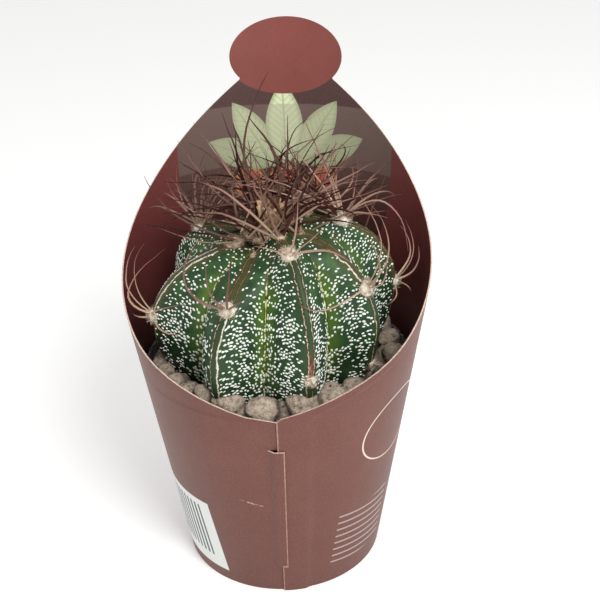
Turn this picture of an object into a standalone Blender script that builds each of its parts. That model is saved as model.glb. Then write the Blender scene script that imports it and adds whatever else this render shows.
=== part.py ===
"""A goats horn cactus in its nursery pot, inside a wrapped paperboard sleeve.

Units are metres, +Z is up and the origin is the middle of the pot's underside. An azimuth is measured
in degrees round +Z from the front (-Y) towards the right (+X), so the sleeve's back panel is at 180.
"""

import math
import random

import bmesh
import bpy
import numpy as np
from mathutils import Vector, noise

MM = 0.001
GAP = 0.3 * MM

# Pot: a thin moulded nursery pot with a lip.
POT_RIM_RADIUS = 42.5 * MM
POT_HEIGHT = 69.5 * MM
POT_BASE_RADIUS = 28.8 * MM
POT_WALL = 0.8 * MM
POT_FLOOR = 1.2 * MM
POT_LIP_WIDTH = 1.5 * MM
POT_LIP_HEIGHT = 4.0 * MM
LIP_TAPER = 0.7 * MM
POT_SIDES = 48
DRAIN_RADIUS = 3.0 * MM
DRAIN_CIRCLE = 20.0 * MM
DRAIN_COUNT = 6

# Sleeve: one sheet of board wrapped into a cone, with a tall back panel.
SLEEVE_BASE_RADIUS = 32.7 * MM
SLEEVE_FLARE = 0.155
BOARD = 0.45 * MM
LAP_LIFT = 0.6 * MM
SEAM_AZIMUTH = 4.8
SEAM_TOP = 71.2 * MM
LAP_ANGLES = (0.0, 2.75, 5.5, 8.25, 11.0)
LAP_RAMP_END = 16.0
LAP_FADE = 12.0 * MM
TAB_ROOT = -4.0
TAB_RAMP_END = -1.0
UPPER_SLIT = 60.5 * MM
LOWER_SLIT = 11.5 * MM
SLIT_WIDTH = 0.4 * MM
WRAP_STEPS = 27
# Half angle and height of the cut edge, from the neck under the head down to the seam.
EDGE_POINTS = (
    (16.6, 144.6),
    (30.0, 135.4),
    (60.0, 115.4),
    (90.0, 99.0),
    (120.0, 85.8),
    (150.0, 78.2),
    (180.0, 71.2),
)
HEAD_CENTRE = 152.0 * MM
HEAD_HALF_HEIGHT = 12.3 * MM
HEAD_HALF_WIDTH = 19.2 * MM

# Filling: soil with a bed of gravel and loose stones on it.
SOIL_TOP = 62.5 * MM
BED_TOP = 67.5 * MM
STONE_RINGS = (
    # count, ring radius, ring height, smallest stone, largest stone
    (21, 36.4 * MM, 71.2 * MM, 5.0 * MM, 6.6 * MM),
    (17, 34.6 * MM, 68.2 * MM, 3.8 * MM, 4.8 * MM),
)
STONE_LIMIT_DEPTH = 24.0 * MM
WALL_CLEARANCE = 0.45 * MM
STONE_CLEARANCE = 3.5 * MM
# Azimuths at the left where no stone lies, and the pot's wall shows beside the plant.
BARE_ARC = (242.0, 282.0)

# Cactus body: eight ribs round a leaning axis.
BODY_CENTRE = Vector((-2.4 * MM, 0.3 * MM, 60.0 * MM))
BODY_LEAN = (0.06, -0.17)
BODY_RADIUS = 36.4 * MM
BODY_WIDEST = 32.0 * MM
BODY_DOME = 24.0 * MM
BODY_FOOT_RADIUS = 26.0 * MM
BODY_NECK_RADIUS = 11.0 * MM
BODY_NECK_DEPTH = 8.0 * MM
CROWN_DIP = 2.0 * MM
CROWN_DIP_RADIUS = 6.0 * MM
# How far the growing point lies off the body's axis, and where on the ridges that shift ends.
CROWN_SHIFT = Vector((-2.2 * MM, 1.0 * MM, 0.0))
CROWN_SHIFT_END = 0.3
SHOULDER_POWER = 0.68
DOME_POWER = 1.15
WAIST_POWER = 2.2
FURROW_DEPTH = 0.32
RIB_COLUMNS = 6
BODY_ROWS = (
    *(0.05, 0.12, 0.2, 0.3, 0.42, 0.55, 0.7, 0.85, 1.0),
    *(1.15, 1.3, 1.45, 1.6, 1.8, 2.0, 2.3, 2.6, 3.0),
)
# Azimuth, size and height of each rib, in order round the plant.
RIBS = (
    (-120.0, 1.04, 0.94),
    (-70.0, 1.02, 0.94),
    (-21.6, 1.01, 0.94),
    (22.5, 1.01, 1.06),
    (66.4, 0.98, 1.03),
    (104.0, 1.06, 1.08),
    (150.0, 1.00, 1.05),
    (196.0, 1.00, 0.98),
)
BACK_LEFT, LEFT, FRONT_LEFT, FRONT, RIGHT, FAR_RIGHT, BACK_RIGHT, BACK = range(8)

# Wool and spines.
WOOL_RADIUS = 2.7 * MM
SPINE_WIDTH = 1.1 * MM
SPINE_TIP_WIDTH = 0.45 * MM
SPINE_STEPS = 4
CROWN_WOOL_RADIUS = 8.0 * MM
YOUNG_AREOLE = 0.10
YOUNG_WOOL_RADIUS = 2.6 * MM
CROWN_SPINES = 54
CROWN_CLEARANCE = 3.6 * MM
CROWN_TOP = 147 * MM
CROWN_TILTS = (20, 36, 48, 58, 66, 72, 78, 84)
CROWN_FAN = 150
CROWN_LENGTHS = (26 * MM, 40 * MM)
# The few spines that stand far over the rest: where the tip lies from the growing point, and the bow.
TALL_SPINES = (
    ((1.2, 8, 45), (-3, 0, 0)),
    ((-4.8, 7, 33), (3, 0, 0)),
    ((7.2, 1, 34), (2, -1, 0)),
)


def on_ring(azimuth, radius, height):
    angle = math.radians(azimuth)
    return Vector((radius * math.sin(angle), -radius * math.cos(angle), height))


def material(name, colour, roughness):
    """A Principled material from an sRGB colour given as 0 to 255."""
    made = bpy.data.materials.new(name)
    made.use_nodes = True
    shader = made.node_tree.nodes["Principled BSDF"]
    linear = [(c / 255) ** 2.2 for c in colour]
    shader.inputs["Base Color"].default_value = (*linear, 1.0)
    shader.inputs["Roughness"].default_value = roughness
    made.diffuse_color = (*linear, 1.0)
    return made


def add_object(name, bm, collection, surface=None, smooth_angle=None):
    """Puts a bmesh in a new object, with its normals pointing out."""
    bmesh.ops.recalc_face_normals(bm, faces=bm.faces)
    if bm.calc_volume(signed=True) < 0:
        bmesh.ops.reverse_faces(bm, faces=bm.faces)
    mesh = bpy.data.meshes.new(name)
    bm.to_mesh(mesh)
    bm.free()
    if surface:
        mesh.materials.append(surface)
    if smooth_angle is not None:
        mesh.shade_smooth()
        mesh.set_sharp_from_angle(angle=math.radians(smooth_angle))
    made = bpy.data.objects.new(name, mesh)
    collection.objects.link(made)
    return made


def keep_largest(mesh):
    """Drops the loose scraps that a cut leaves, and keeps the largest piece."""
    bm = bmesh.new()
    bm.from_mesh(mesh)
    left = set(bm.faces)
    islands = []
    while left:
        stack = [left.pop()]
        island = list(stack)
        while stack:
            for edge in stack.pop().edges:
                for face in edge.link_faces:
                    if face in left:
                        left.remove(face)
                        island.append(face)
                        stack.append(face)
        islands.append(island)
    islands.sort(key=lambda island: sum(face.calc_area() for face in island))
    for island in islands[:-1]:
        bmesh.ops.delete(bm, geom=island, context="FACES")
    bm.to_mesh(mesh)
    bm.free()


def apply_modifiers(target):
    """Replaces the object's mesh by its evaluated one."""
    graph = bpy.context.evaluated_depsgraph_get()
    mesh = bpy.data.meshes.new_from_object(target.evaluated_get(graph))
    old = target.data
    target.modifiers.clear()
    target.data = mesh
    bpy.data.meshes.remove(old)


def cut(target, cutter, solver="EXACT"):
    modifier = target.modifiers.new("clearance", "BOOLEAN")
    modifier.operation = "DIFFERENCE"
    modifier.object = cutter
    modifier.solver = solver
    apply_modifiers(target)
    keep_largest(target.data)


def fuse(core, pieces):
    """Joins the pieces to the core by one Boolean union on their collection, and removes them."""
    group = bpy.data.collections.new(core.name + "_pieces")
    bpy.context.scene.collection.children.link(group)
    for piece in pieces:
        for home in list(piece.users_collection):
            home.objects.unlink(piece)
        group.objects.link(piece)
    modifier = core.modifiers.new("fuse", "BOOLEAN")
    modifier.operation = "UNION"
    modifier.operand_type = "COLLECTION"
    modifier.collection = group
    modifier.solver = "MANIFOLD"
    apply_modifiers(core)
    for piece in pieces:
        bpy.data.objects.remove(piece)
    bpy.data.collections.remove(group)


# Sleeve


def edge_half_angle(height):
    """Half the angle that the board spans at this height, from the middle of the back panel."""
    radius = SLEEVE_BASE_RADIUS + SLEEVE_FLARE * height
    angles, heights = (np.array(values) for values in zip(*EDGE_POINTS))
    if height > heights[0] * MM:
        rise = (height - HEAD_CENTRE) / HEAD_HALF_HEIGHT
        return math.degrees(HEAD_HALF_WIDTH * math.sqrt(max(0.0, 1 - rise * rise)) / radius)
    slopes = np.gradient(heights, angles)
    fine_angles = np.linspace(angles[0], angles[-1], 200)
    place = np.clip(np.searchsorted(angles, fine_angles, side="right") - 1, 0, len(angles) - 2)
    span = angles[place + 1] - angles[place]
    t = (fine_angles - angles[place]) / span
    fine_heights = (
        (2 * t**3 - 3 * t**2 + 1) * heights[place]
        + (t**3 - 2 * t**2 + t) * span * slopes[place]
        + (3 * t**2 - 2 * t**3) * heights[place + 1]
        + (t**3 - t**2) * span * slopes[place + 1]
    )
    return float(np.interp(height / MM, fine_heights[::-1], fine_angles[::-1]))


def smooth_step(value):
    value = min(1.0, max(0.0, value))
    return value * value * (3 - 2 * value)


def sleeve_rows():
    slits = [LOWER_SLIT, LOWER_SLIT + SLIT_WIDTH, UPPER_SLIT, UPPER_SLIT + SLIT_WIDTH]
    wrap = [0.0, slits[0], slits[1], 28 * MM, 45 * MM, slits[2], slits[3], SEAM_TOP]
    panel = [h * MM for h in (73.6, 77.5, 83.0, 91.0, 102.0, 114.0, 128.0, 138.5, 144.6)]
    rises = [math.sin(math.radians(angle)) for angle in (-28, -6, 18, 40, 58, 73, 85)]
    head = [HEAD_CENTRE + HEAD_HALF_HEIGHT * rise for rise in rises]
    return wrap, panel + head


def build_sleeve(collection, surface):
    """The sheet as a grid over the cone. Its left end has three flaps between two slits: the middle one is
    a tab that laps over the right end, and the other two lie under it."""
    seam = SEAM_AZIMUTH
    wrap_rows, upper_rows = sleeve_rows()
    first_main = [seam + a for a in LAP_ANGLES] + [seam + LAP_RAMP_END]
    last_main = [seam + 360 + TAB_ROOT, seam + 360 + TAB_RAMP_END, seam + 360]
    step = (last_main[0] - first_main[-1]) / WRAP_STEPS
    middle = [first_main[-1] + step * i for i in range(1, WRAP_STEPS)]
    main = first_main + middle + last_main
    flap = [seam + 360 + a for a in LAP_ANGLES[1:]]
    bm = bmesh.new()
    vertices = {}

    def lift_of_right_end(azimuth):
        ramp = (azimuth - seam - LAP_ANGLES[-1]) / (LAP_RAMP_END - LAP_ANGLES[-1])
        return LAP_LIFT * (1 - smooth_step(ramp))

    def vertex(row, column, layer, azimuth, height, lift):
        key = (row, column, layer)
        if key not in vertices:
            radius = SLEEVE_BASE_RADIUS + SLEEVE_FLARE * height + lift
            vertices[key] = bm.verts.new(on_ring(azimuth, radius, height))
        return vertices[key]

    def wrap_vertex(row, column, layer):
        azimuth = (main + flap)[column]
        lift = lift_of_right_end(azimuth)
        if layer == "tab":
            start = seam + 360 + TAB_ROOT
            lift = 2 * LAP_LIFT * smooth_step((azimuth - start) / (TAB_RAMP_END - TAB_ROOT))
        return vertex(row, column, layer, azimuth, wrap_rows[row], lift)

    root_column = main.index(last_main[0])
    tab_columns = range(root_column, root_column + 3)
    for row in range(len(wrap_rows) - 1):
        in_slit = wrap_rows[row] in (LOWER_SLIT, UPPER_SLIT)
        in_tab = LOWER_SLIT < wrap_rows[row] < UPPER_SLIT and not in_slit
        for column in range(root_column):
            corners = [(row, column), (row, column + 1), (row + 1, column + 1), (row + 1, column)]
            bm.faces.new([wrap_vertex(r, c, "sheet") for r, c in corners])
        if in_slit:
            continue
        columns = tab_columns if in_tab else range(root_column, len(main + flap) - 1)
        for column in columns:
            corners = [(row, column), (row, column + 1), (row + 1, column + 1), (row + 1, column)]
            layers = ["tab" if in_tab and c > root_column else "sheet" for _, c in corners]
            bm.faces.new([wrap_vertex(r, c, layer) for (r, c), layer in zip(corners, layers)])

    left_reach = seam + 180
    right_reach = 180 - seam
    rows = [SEAM_TOP] + upper_rows

    def panel_vertex(index, column):
        height = rows[index]
        if index == 0:
            return wrap_vertex(len(wrap_rows) - 1, column, "sheet")
        offset = main[column] - 180
        share = edge_half_angle(height) / (left_reach if offset > 0 else right_reach)
        lift = lift_of_right_end(main[column]) * max(0.0, 1 - (height - SEAM_TOP) / LAP_FADE)
        return vertex("panel" + str(index), column, "sheet", 180 + offset * share, height, lift)

    for index in range(len(rows) - 1):
        for column in range(len(main) - 1):
            corners = [(index, column), (index, column + 1), (index + 1, column + 1), (index + 1, column)]
            bm.faces.new([panel_vertex(i, c) for i, c in corners])
    bmesh.ops.triangulate(bm, faces=bm.faces)
    sleeve = add_object("paperboard_sleeve", bm, collection, surface, 40)
    wall = sleeve.modifiers.new("board", "SOLIDIFY")
    wall.thickness = BOARD
    wall.offset = -1
    return sleeve


# Pot and filling


def pot_wall_radius(height):
    """Radius of the pot's outer wall."""
    top = POT_HEIGHT - POT_LIP_HEIGHT
    top_radius = POT_RIM_RADIUS - POT_LIP_WIDTH + POT_WALL * 0.4
    return POT_BASE_RADIUS + (top_radius - POT_BASE_RADIUS) * height / top


def turned(name, profile, collection, surface):
    """A closed shape turned round Z from a profile that ends on the axis."""
    bm = bmesh.new()
    points = [bm.verts.new((radius, 0, height)) for radius, height in profile]
    for first, second in zip(points, points[1:]):
        bm.edges.new((first, second))
    mesh = bpy.data.meshes.new(name)
    bm.to_mesh(mesh)
    bm.free()
    mesh.materials.append(surface)
    made = bpy.data.objects.new(name, mesh)
    collection.objects.link(made)
    screw = made.modifiers.new("turn", "SCREW")
    screw.steps = POT_SIDES
    screw.render_steps = POT_SIDES
    screw.use_merge_vertices = True
    screw.merge_threshold = 0.00001
    screw.use_smooth_shade = True
    return made


def build_pot(collection, cutters, surface):
    lip_bottom = POT_HEIGHT - POT_LIP_HEIGHT
    inner_top = POT_RIM_RADIUS - POT_LIP_WIDTH
    inner_floor = pot_wall_radius(POT_FLOOR) - POT_WALL
    profile = [
        (0, POT_FLOOR),
        (inner_floor - 1.5 * MM, POT_FLOOR),
        (inner_floor, POT_FLOOR + 1.5 * MM),
        (pot_wall_radius(lip_bottom) - POT_WALL, lip_bottom),
        (inner_top, POT_HEIGHT - 0.5 * MM),
        (inner_top + 0.4 * MM, POT_HEIGHT),
        (POT_RIM_RADIUS - 0.4 * MM, POT_HEIGHT),
        (POT_RIM_RADIUS, POT_HEIGHT - 0.5 * MM),
        (POT_RIM_RADIUS - LIP_TAPER, lip_bottom),
        (pot_wall_radius(lip_bottom), lip_bottom),
        (POT_BASE_RADIUS, 1.0 * MM),
        (POT_BASE_RADIUS - 1.0 * MM, 0),
        (0, 0),
    ]
    pot = turned("nursery_pot", profile, collection, surface)
    bm = bmesh.new()
    for index in range(DRAIN_COUNT):
        made = bmesh.ops.create_cone(
            bm, cap_ends=True, segments=12, radius1=DRAIN_RADIUS, radius2=DRAIN_RADIUS, depth=4 * POT_FLOOR
        )
        place = on_ring(360 * index / DRAIN_COUNT, DRAIN_CIRCLE, POT_FLOOR / 2)
        bmesh.ops.translate(bm, verts=made["verts"], vec=place)
    holes = add_object("drain_holes", bm, cutters)
    holes.hide_render = True
    holes.display_type = "WIRE"
    drains = pot.modifiers.new("drains", "BOOLEAN")
    drains.operation = "DIFFERENCE"
    drains.object = holes
    drains.solver = "EXACT"
    return pot


def build_soil(collection, surface, clearance):
    bottom = POT_FLOOR + GAP
    foot = pot_wall_radius(POT_FLOOR) - POT_WALL - GAP
    profile = [
        (0, SOIL_TOP),
        (pot_wall_radius(SOIL_TOP) - POT_WALL - WALL_CLEARANCE, SOIL_TOP),
        (foot, bottom + 1.9 * MM),
        (foot - 1.9 * MM, bottom),
        (0, bottom),
    ]
    soil = turned("potting_soil", profile, collection, surface)
    apply_modifiers(soil)
    cut(soil, clearance)
    return soil


def stone(name, centre, radius, seed, collection):
    """A rounded, lumpy stone."""
    draw = random.Random(seed)
    bm = bmesh.new()
    bmesh.ops.create_icosphere(bm, subdivisions=1, radius=1.0)
    stretch = Vector((draw.uniform(0.9, 1.2), draw.uniform(0.85, 1.1), draw.uniform(0.75, 0.95)))
    turn = draw.uniform(0, math.tau)
    offset = Vector((draw.uniform(0, 50), draw.uniform(0, 50), draw.uniform(0, 50)))
    for vert in bm.verts:
        lump = 1 + 0.16 * noise.noise(vert.co * 1.3 + offset)
        scaled = vert.co * stretch * radius * lump
        turned_x = scaled.x * math.cos(turn) - scaled.y * math.sin(turn)
        turned_y = scaled.x * math.sin(turn) + scaled.y * math.cos(turn)
        vert.co = centre + Vector((turned_x, turned_y, scaled.z))
    return add_object(name, bm, collection)


def build_gravel(collection, cutters, surface, clearance):
    """A bed of fine gravel with stones set in it, kept clear of the plant and of the pot's wall."""
    draw = random.Random(7)
    bm = bmesh.new()
    bed_radius = pot_wall_radius(SOIL_TOP) - POT_WALL - WALL_CLEARANCE
    bmesh.ops.create_cone(
        bm,
        cap_ends=True,
        segments=POT_SIDES,
        radius1=bed_radius,
        radius2=bed_radius,
        depth=BED_TOP - SOIL_TOP - GAP,
    )
    bmesh.ops.translate(bm, verts=bm.verts, vec=(0, 0, (BED_TOP + SOIL_TOP + GAP) / 2))
    gravel = add_object("gravel", bm, collection, surface)
    keep_clear = [ridge_point(rib, place) for rib, place, _, _ in AREOLES.values()]
    stones = []
    for ring, (count, ring_radius, height, smallest, largest) in enumerate(STONE_RINGS):
        for index in range(count):
            azimuth = 360 * (index + 0.5 * ring + draw.uniform(-0.18, 0.18)) / count
            radius = draw.uniform(smallest, largest)
            in_or_out = draw.uniform(-0.8, 0.8) * MM
            centre = on_ring(azimuth, ring_radius + in_or_out, height + draw.uniform(-1, 1) * MM)
            while min((centre - spot).length for spot in keep_clear) < radius * 1.1 + STONE_CLEARANCE:
                centre.z -= 0.5 * MM
            if BARE_ARC[0] < azimuth < BARE_ARC[1]:
                continue
            stones.append(stone("stone", centre, radius, 100 * ring + index, collection))
    fuse(gravel, stones)
    bm = bmesh.new()
    low = SOIL_TOP + GAP
    bmesh.ops.create_cone(
        bm,
        cap_ends=True,
        segments=POT_SIDES,
        radius1=pot_wall_radius(low) - POT_WALL - WALL_CLEARANCE,
        radius2=pot_wall_radius(low + STONE_LIMIT_DEPTH) - POT_WALL - WALL_CLEARANCE,
        depth=STONE_LIMIT_DEPTH,
    )
    bmesh.ops.translate(bm, verts=bm.verts, vec=(0, 0, low + STONE_LIMIT_DEPTH / 2))
    inside = add_object("gravel_limit", bm, cutters)
    inside.hide_render = True
    inside.display_type = "WIRE"
    limit = gravel.modifiers.new("limit", "BOOLEAN")
    limit.operation = "INTERSECT"
    limit.object = inside
    limit.solver = "EXACT"
    apply_modifiers(gravel)
    bpy.data.objects.remove(inside)
    cut(gravel, clearance)
    return gravel


# Cactus body


def lean(point):
    """Tips a point on the upright body over by the plant's lean, and moves it to the plant's place."""
    x, y, z = point
    lean_x, lean_y = BODY_LEAN
    return BODY_CENTRE + Vector((x + lean_x * z, y + lean_y * z, z - lean_x * x - lean_y * y))


def ridge_profile(t):
    """Distance from the axis and height over the gravel, from the crown (0) by the widest place (1) to
    the foot (2) and the end of the neck (3)."""
    if t < 1:
        angle = t * math.pi / 2
        radius = BODY_RADIUS * math.sin(angle) ** SHOULDER_POWER
        return radius, BODY_WIDEST + BODY_DOME * math.cos(angle) ** DOME_POWER
    if t <= 2:
        share = t - 1
        radius = BODY_RADIUS - (BODY_RADIUS - BODY_FOOT_RADIUS) * share**WAIST_POWER
        return radius, BODY_WIDEST * (1 - share)
    share = t - 2
    radius = BODY_FOOT_RADIUS + (BODY_NECK_RADIUS - BODY_FOOT_RADIUS) * math.sin(share * math.pi / 2)
    return radius, -BODY_NECK_DEPTH * share


def rib_at(column):
    """Azimuth, size, height and distance from the ridge (0) to the furrow (1) for a column of the body."""
    rib, step = divmod(column, RIB_COLUMNS)
    azimuth, size, tall = RIBS[rib % len(RIBS)]
    next_azimuth, next_size, next_tall = RIBS[(rib + 1) % len(RIBS)]
    share = step / RIB_COLUMNS
    gap = (next_azimuth - azimuth) % 360
    furrow = 1 - abs(2 * share - 1)
    return (
        azimuth + gap * share,
        size + (next_size - size) * share,
        tall + (next_tall - tall) * share,
        furrow,
    )


def body_point(t, azimuth, size, tall, furrow, swell=0.0):
    radius, height = ridge_profile(t)
    depth = FURROW_DEPTH * math.sin(min(t, 1.0) * math.pi / 2) ** 0.4
    if t > 1:
        depth = FURROW_DEPTH * (1 - 0.35 * min(t - 1, 1.0))
    if t > 2:
        depth *= 3 - t
    radius *= size * (1 - depth * furrow)
    height *= tall if height > 0 else 1
    height -= CROWN_DIP * math.exp(-((radius / CROWN_DIP_RADIUS) ** 2)) if t < 1 else 0
    if swell:
        radius += swell * (1.0 if t > 0.3 else t / 0.3)
        height += swell * (1.3 - min(t, 2.6))
    shift = CROWN_SHIFT * max(0.0, 1 - t / CROWN_SHIFT_END) ** 2
    return lean(on_ring(azimuth, radius, height) + shift)


def body_mesh(swell=0.0):
    """A bmesh of the ribbed body, swollen by this much for a clearance cutter."""
    bm = bmesh.new()
    columns = len(RIBS) * RIB_COLUMNS
    rings = []
    for t in BODY_ROWS:
        rings.append([bm.verts.new(body_point(t, *rib_at(column), swell)) for column in range(columns)])
    top = bm.verts.new(body_point(0.0, 0.0, 1.0, 1.0, 0.0, swell))
    bottom = bm.verts.new(lean((0, 0, -BODY_NECK_DEPTH - swell)))
    for column in range(columns):
        following = (column + 1) % columns
        bm.faces.new((top, rings[0][column], rings[0][following]))
        bm.faces.new((bottom, rings[-1][following], rings[-1][column]))
        for upper, lower in zip(rings, rings[1:]):
            bm.faces.new((upper[column], lower[column], lower[following], upper[following]))
    bmesh.ops.triangulate(bm, faces=bm.faces)
    return bm


def ridge_point(rib, t):
    azimuth, size, tall = RIBS[rib]
    return body_point(t, azimuth, size, tall, 0.0)


def ridge_normal(rib, t):
    """Outward direction at a point of a ridge."""
    azimuth = math.radians(RIBS[rib][0])
    along = ridge_point(rib, t + 0.02) - ridge_point(rib, t - 0.02)
    across = Vector((math.cos(azimuth), math.sin(azimuth), 0))
    return along.cross(across).normalized() * -1


# Wool and spines

# Each areole: rib, place on the ridge, wool size, and its spines. A spine is where its tip lies from the
# root and how far its middle bows out of the straight line, in millimetres.
AREOLES = {
    "front": (FRONT, 0.20, 1.0, (
        ((10, -6, 11), (1, -2, 1)),
        ((19, -13, 2), (2, -4, 5)),
        ((-9, -8, 6), (-1, -3, 2)),
        ((-3, -16, 4), (0, -2, 4)),
        ((3, -4, 20), (1, -4, 0)),
    )),
    "front_left": (FRONT_LEFT, 0.48, 1.0, (
        ((-4, -10, 26), (-7, -6, 0)),
        ((-1, -8, 24), (-3, -5, 0)),
        ((4, -9, 22), (0, -5, 0)),
        ((-8, -9, 12), (-2, -4, 1)),
        ((7, -10, 9), (1, -3, 2)),
    )),
    "left": (LEFT, 0.94, 0.85, (
        ((-3, -4, 24), (-5, -1, -1)),
        ((7, -6, 25), (-9, -3, -2)),
        ((14, -15, 11), (-3, -6, 3)),
        ((11, -13, 0), (-1, -5, 1)),
        ((-6, -2, 1), (-1, 0, -1)),
        ((-2, 4, 22), (-5, 2, -1)),
    )),
    "back_left": (BACK_LEFT, 0.44, 0.9, (
        ((-6, 2, 20), (-3, 1, -1)),
        ((-10, -2, 12), (-1, -1, 3)),
        ((2, 6, 22), (-3, 3, 0)),
        ((-9, 7, 9), (-1, 2, 3)),
    )),
    "right": (RIGHT, 0.60, 1.0, (
        ((-18, -16, 3), (-2, -7, -1)),
        ((-2, -6, 22), (5, -4, -1)),
        ((1, -3, 27), (6, -3, 0)),
        ((-4, -7, 34), (6, -6, 2)),
        ((6, -7, 12), (2, -3, -1)),
    )),
    "far_right": (FAR_RIGHT, 1.0, 0.8, (
        ((3, -3, 22), (4, -2, -1)),
        ((7, -1, 12), (3, 0, -2)),
        ((5, -4, -2), (1, -1, 1)),
        ((2, 5, 16), (4, 3, -1)),
        ((-3, -8, -5), (2, -2, 0)),
    )),
    "back_right": (BACK_RIGHT, 0.55, 0.9, (
        ((6, 6, 14), (4, 4, -1)),
        ((1, 7, 18), (2, 5, -1)),
        ((10, 2, 7), (2, 2, 2)),
        ((0, 8, 4), (0, 2, 2)),
    )),
    "back": (BACK, 0.60, 0.9, (
        ((-5, 7, 14), (-2, 5, -1)),
        ((3, 7, 18), (1, 5, -1)),
        ((-8, 5, 4), (-2, 2, 2)),
        ((6, 7, 6), (1, 3, 2)),
    )),
    "upper_right": (FAR_RIGHT, 0.25, 1.1, (
        ((20, -4, -8), (3, -1, 11)),
        ((16, 2, 7), (2, 1, 4)),
        ((12, 9, 12), (1, 2, 2)),
    )),
    "front_low": (FRONT, 1.16, 0.7, (
        ((-1, -5, 4), (0, -1, 0)),
        ((3, -5, 1), (0, -1, 0)),
    )),
    "right_low": (RIGHT, 1.40, 0.65, (
        ((5, -3, 2), (0, -1, 0)),
        ((0, -5, 1), (0, -1, 0)),
    )),
}


def spine_path(root, tip, bow):
    """Points along a spine whose middle is pushed off the straight line by bow."""
    points = []
    for index in range(SPINE_STEPS + 1):
        share = index / SPINE_STEPS
        points.append(root.lerp(tip, share) + bow * 4 * share * (1 - share))
    return points


def spine(path, collection, width=SPINE_WIDTH):
    """A tapering spine with three sides."""
    bm = bmesh.new()
    rings = []
    for index, point in enumerate(path):
        ahead = path[min(index + 1, len(path) - 1)] - path[max(index - 1, 0)]
        side = ahead.cross(Vector((0.31, 0.52, 0.79))).normalized()
        other = ahead.cross(side).normalized()
        share = index / (len(path) - 1)
        reach = (width + (SPINE_TIP_WIDTH - width) * share) * 0.58
        corners = []
        for corner in range(3):
            angle = math.tau * corner / 3
            corners.append(bm.verts.new(point + (side * math.cos(angle) + other * math.sin(angle)) * reach))
        rings.append(corners)
    for first, second in zip(rings, rings[1:]):
        for corner in range(3):
            following = (corner + 1) % 3
            bm.faces.new((first[corner], first[following], second[following], second[corner]))
    bm.faces.new(rings[0])
    bm.faces.new(rings[-1])
    bmesh.ops.triangulate(bm, faces=bm.faces)
    return add_object("spine", bm, collection)


def wool(name, centre, normal, size, flatness, collection, surface):
    """A flattened cushion of wool, with its short axis along the normal."""
    bm = bmesh.new()
    bmesh.ops.create_icosphere(bm, subdivisions=2 if size > 5 * MM else 1, radius=1.0)
    turn = normal.to_track_quat("Z", "Y")
    for vert in bm.verts:
        lump = 1 + 0.08 * noise.noise(vert.co * 2.3 + centre * 400)
        scaled = Vector((vert.co.x, vert.co.y, vert.co.z * flatness)) * size * lump
        vert.co = centre + turn @ scaled
    return add_object(name, bm, collection, surface)


def build_areoles(collection, surface, clearance):
    """One node of wool and spines for each areole. Returns the spines' paths."""
    paths = []
    for name, (rib, place, scale, spines) in AREOLES.items():
        base = ridge_point(rib, place)
        normal = ridge_normal(rib, place)
        centre = base + normal * 0.6 * MM
        cushion = wool("spines_" + name, centre, normal, WOOL_RADIUS * scale, 0.8, collection, surface)
        pieces = []
        for tip, bow in spines:
            root = centre + Vector(tip).normalized() * 0.3 * MM
            path = spine_path(root, centre + Vector(tip) * MM, Vector(bow) * MM)
            paths.append(path)
            pieces.append(spine(path, collection))
        fuse(cushion, pieces)
        cut(cushion, clearance)
    return paths


def dome_height(point):
    """Height of the plant's ridges under or over a point."""
    at = point - BODY_CENTRE
    lean_x, lean_y = BODY_LEAN
    reach = math.hypot(at.x - lean_x * at.z, at.y - lean_y * at.z)
    best = BODY_CENTRE.z
    for step in range(0, 20):
        radius, height = ridge_profile(step / 20)
        if radius * 1.02 >= reach:
            best = BODY_CENTRE.z + height * 1.05
            break
    return best - lean_x * at.x - lean_y * at.y


def build_crown(collection, surface, clearance, taken):
    """The growing point: wool with the young areoles round it, under a tangle of long spines."""
    draw = random.Random(11)
    top = body_point(0.0, 0.0, 1.0, 1.0, 0.0)
    axis = (lean((0, 0, 1.0)) - lean((0, 0, 0))).normalized()
    centre = top + axis * 0.6 * MM
    cap = wool("spines_crown", centre, axis, CROWN_WOOL_RADIUS, 0.42, collection, surface)
    side = axis.cross(Vector((0, 1, 0))).normalized()
    front = axis.cross(side).normalized()
    pieces = []
    for rib in range(len(RIBS)):
        spot = ridge_point(rib, YOUNG_AREOLE)
        outward = ridge_normal(rib, YOUNG_AREOLE)
        pieces.append(wool("young", spot, outward, YOUNG_WOOL_RADIUS, 0.8, collection, surface))
    for tip, bow in TALL_SPINES:
        pieces.append(spine(spine_path(centre, centre + Vector(tip) * MM, Vector(bow) * MM), collection))
    made = 0
    while made < CROWN_SPINES:
        rib = draw.randrange(len(RIBS))
        young = ridge_point(rib, YOUNG_AREOLE) + ridge_normal(rib, YOUNG_AREOLE) * 0.8 * MM
        root = centre.lerp(young, draw.choice((0.35, 0.7, 1.0)))
        away = (young - centre) - axis * (young - centre).dot(axis)
        turn = math.radians(draw.uniform(-CROWN_FAN, CROWN_FAN))
        bearing = math.atan2(away.dot(front), away.dot(side)) + turn
        outward = side * math.cos(bearing) + front * math.sin(bearing)
        around = axis.cross(outward)
        tilt = math.radians(draw.choice(CROWN_TILTS) + draw.uniform(-6, 6))
        length = draw.uniform(*CROWN_LENGTHS) * (1.15 - 0.3 * math.sin(tilt))
        tip = root + (axis * math.cos(tilt) + outward * math.sin(tilt)) * length
        bow = outward * draw.uniform(-2, 4) + axis * draw.uniform(-2, 6) + around * draw.uniform(-9, 9)
        path = spine_path(root, tip, bow * MM)
        low_in_front = tip.z < centre.z + 10 * MM and tip.y < centre.y - 12 * MM
        if tip.z > CROWN_TOP or low_in_front:
            continue
        if any(point.z < dome_height(point) + 2 * MM for point in path[2:]):
            continue
        near = min((a - b).length for other in taken for a in other for b in path)
        if near < CROWN_CLEARANCE:
            continue
        pieces.append(spine(path, collection))
        made += 1
    fuse(cap, pieces)
    cut(cap, clearance, "MANIFOLD")
    return cap


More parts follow.
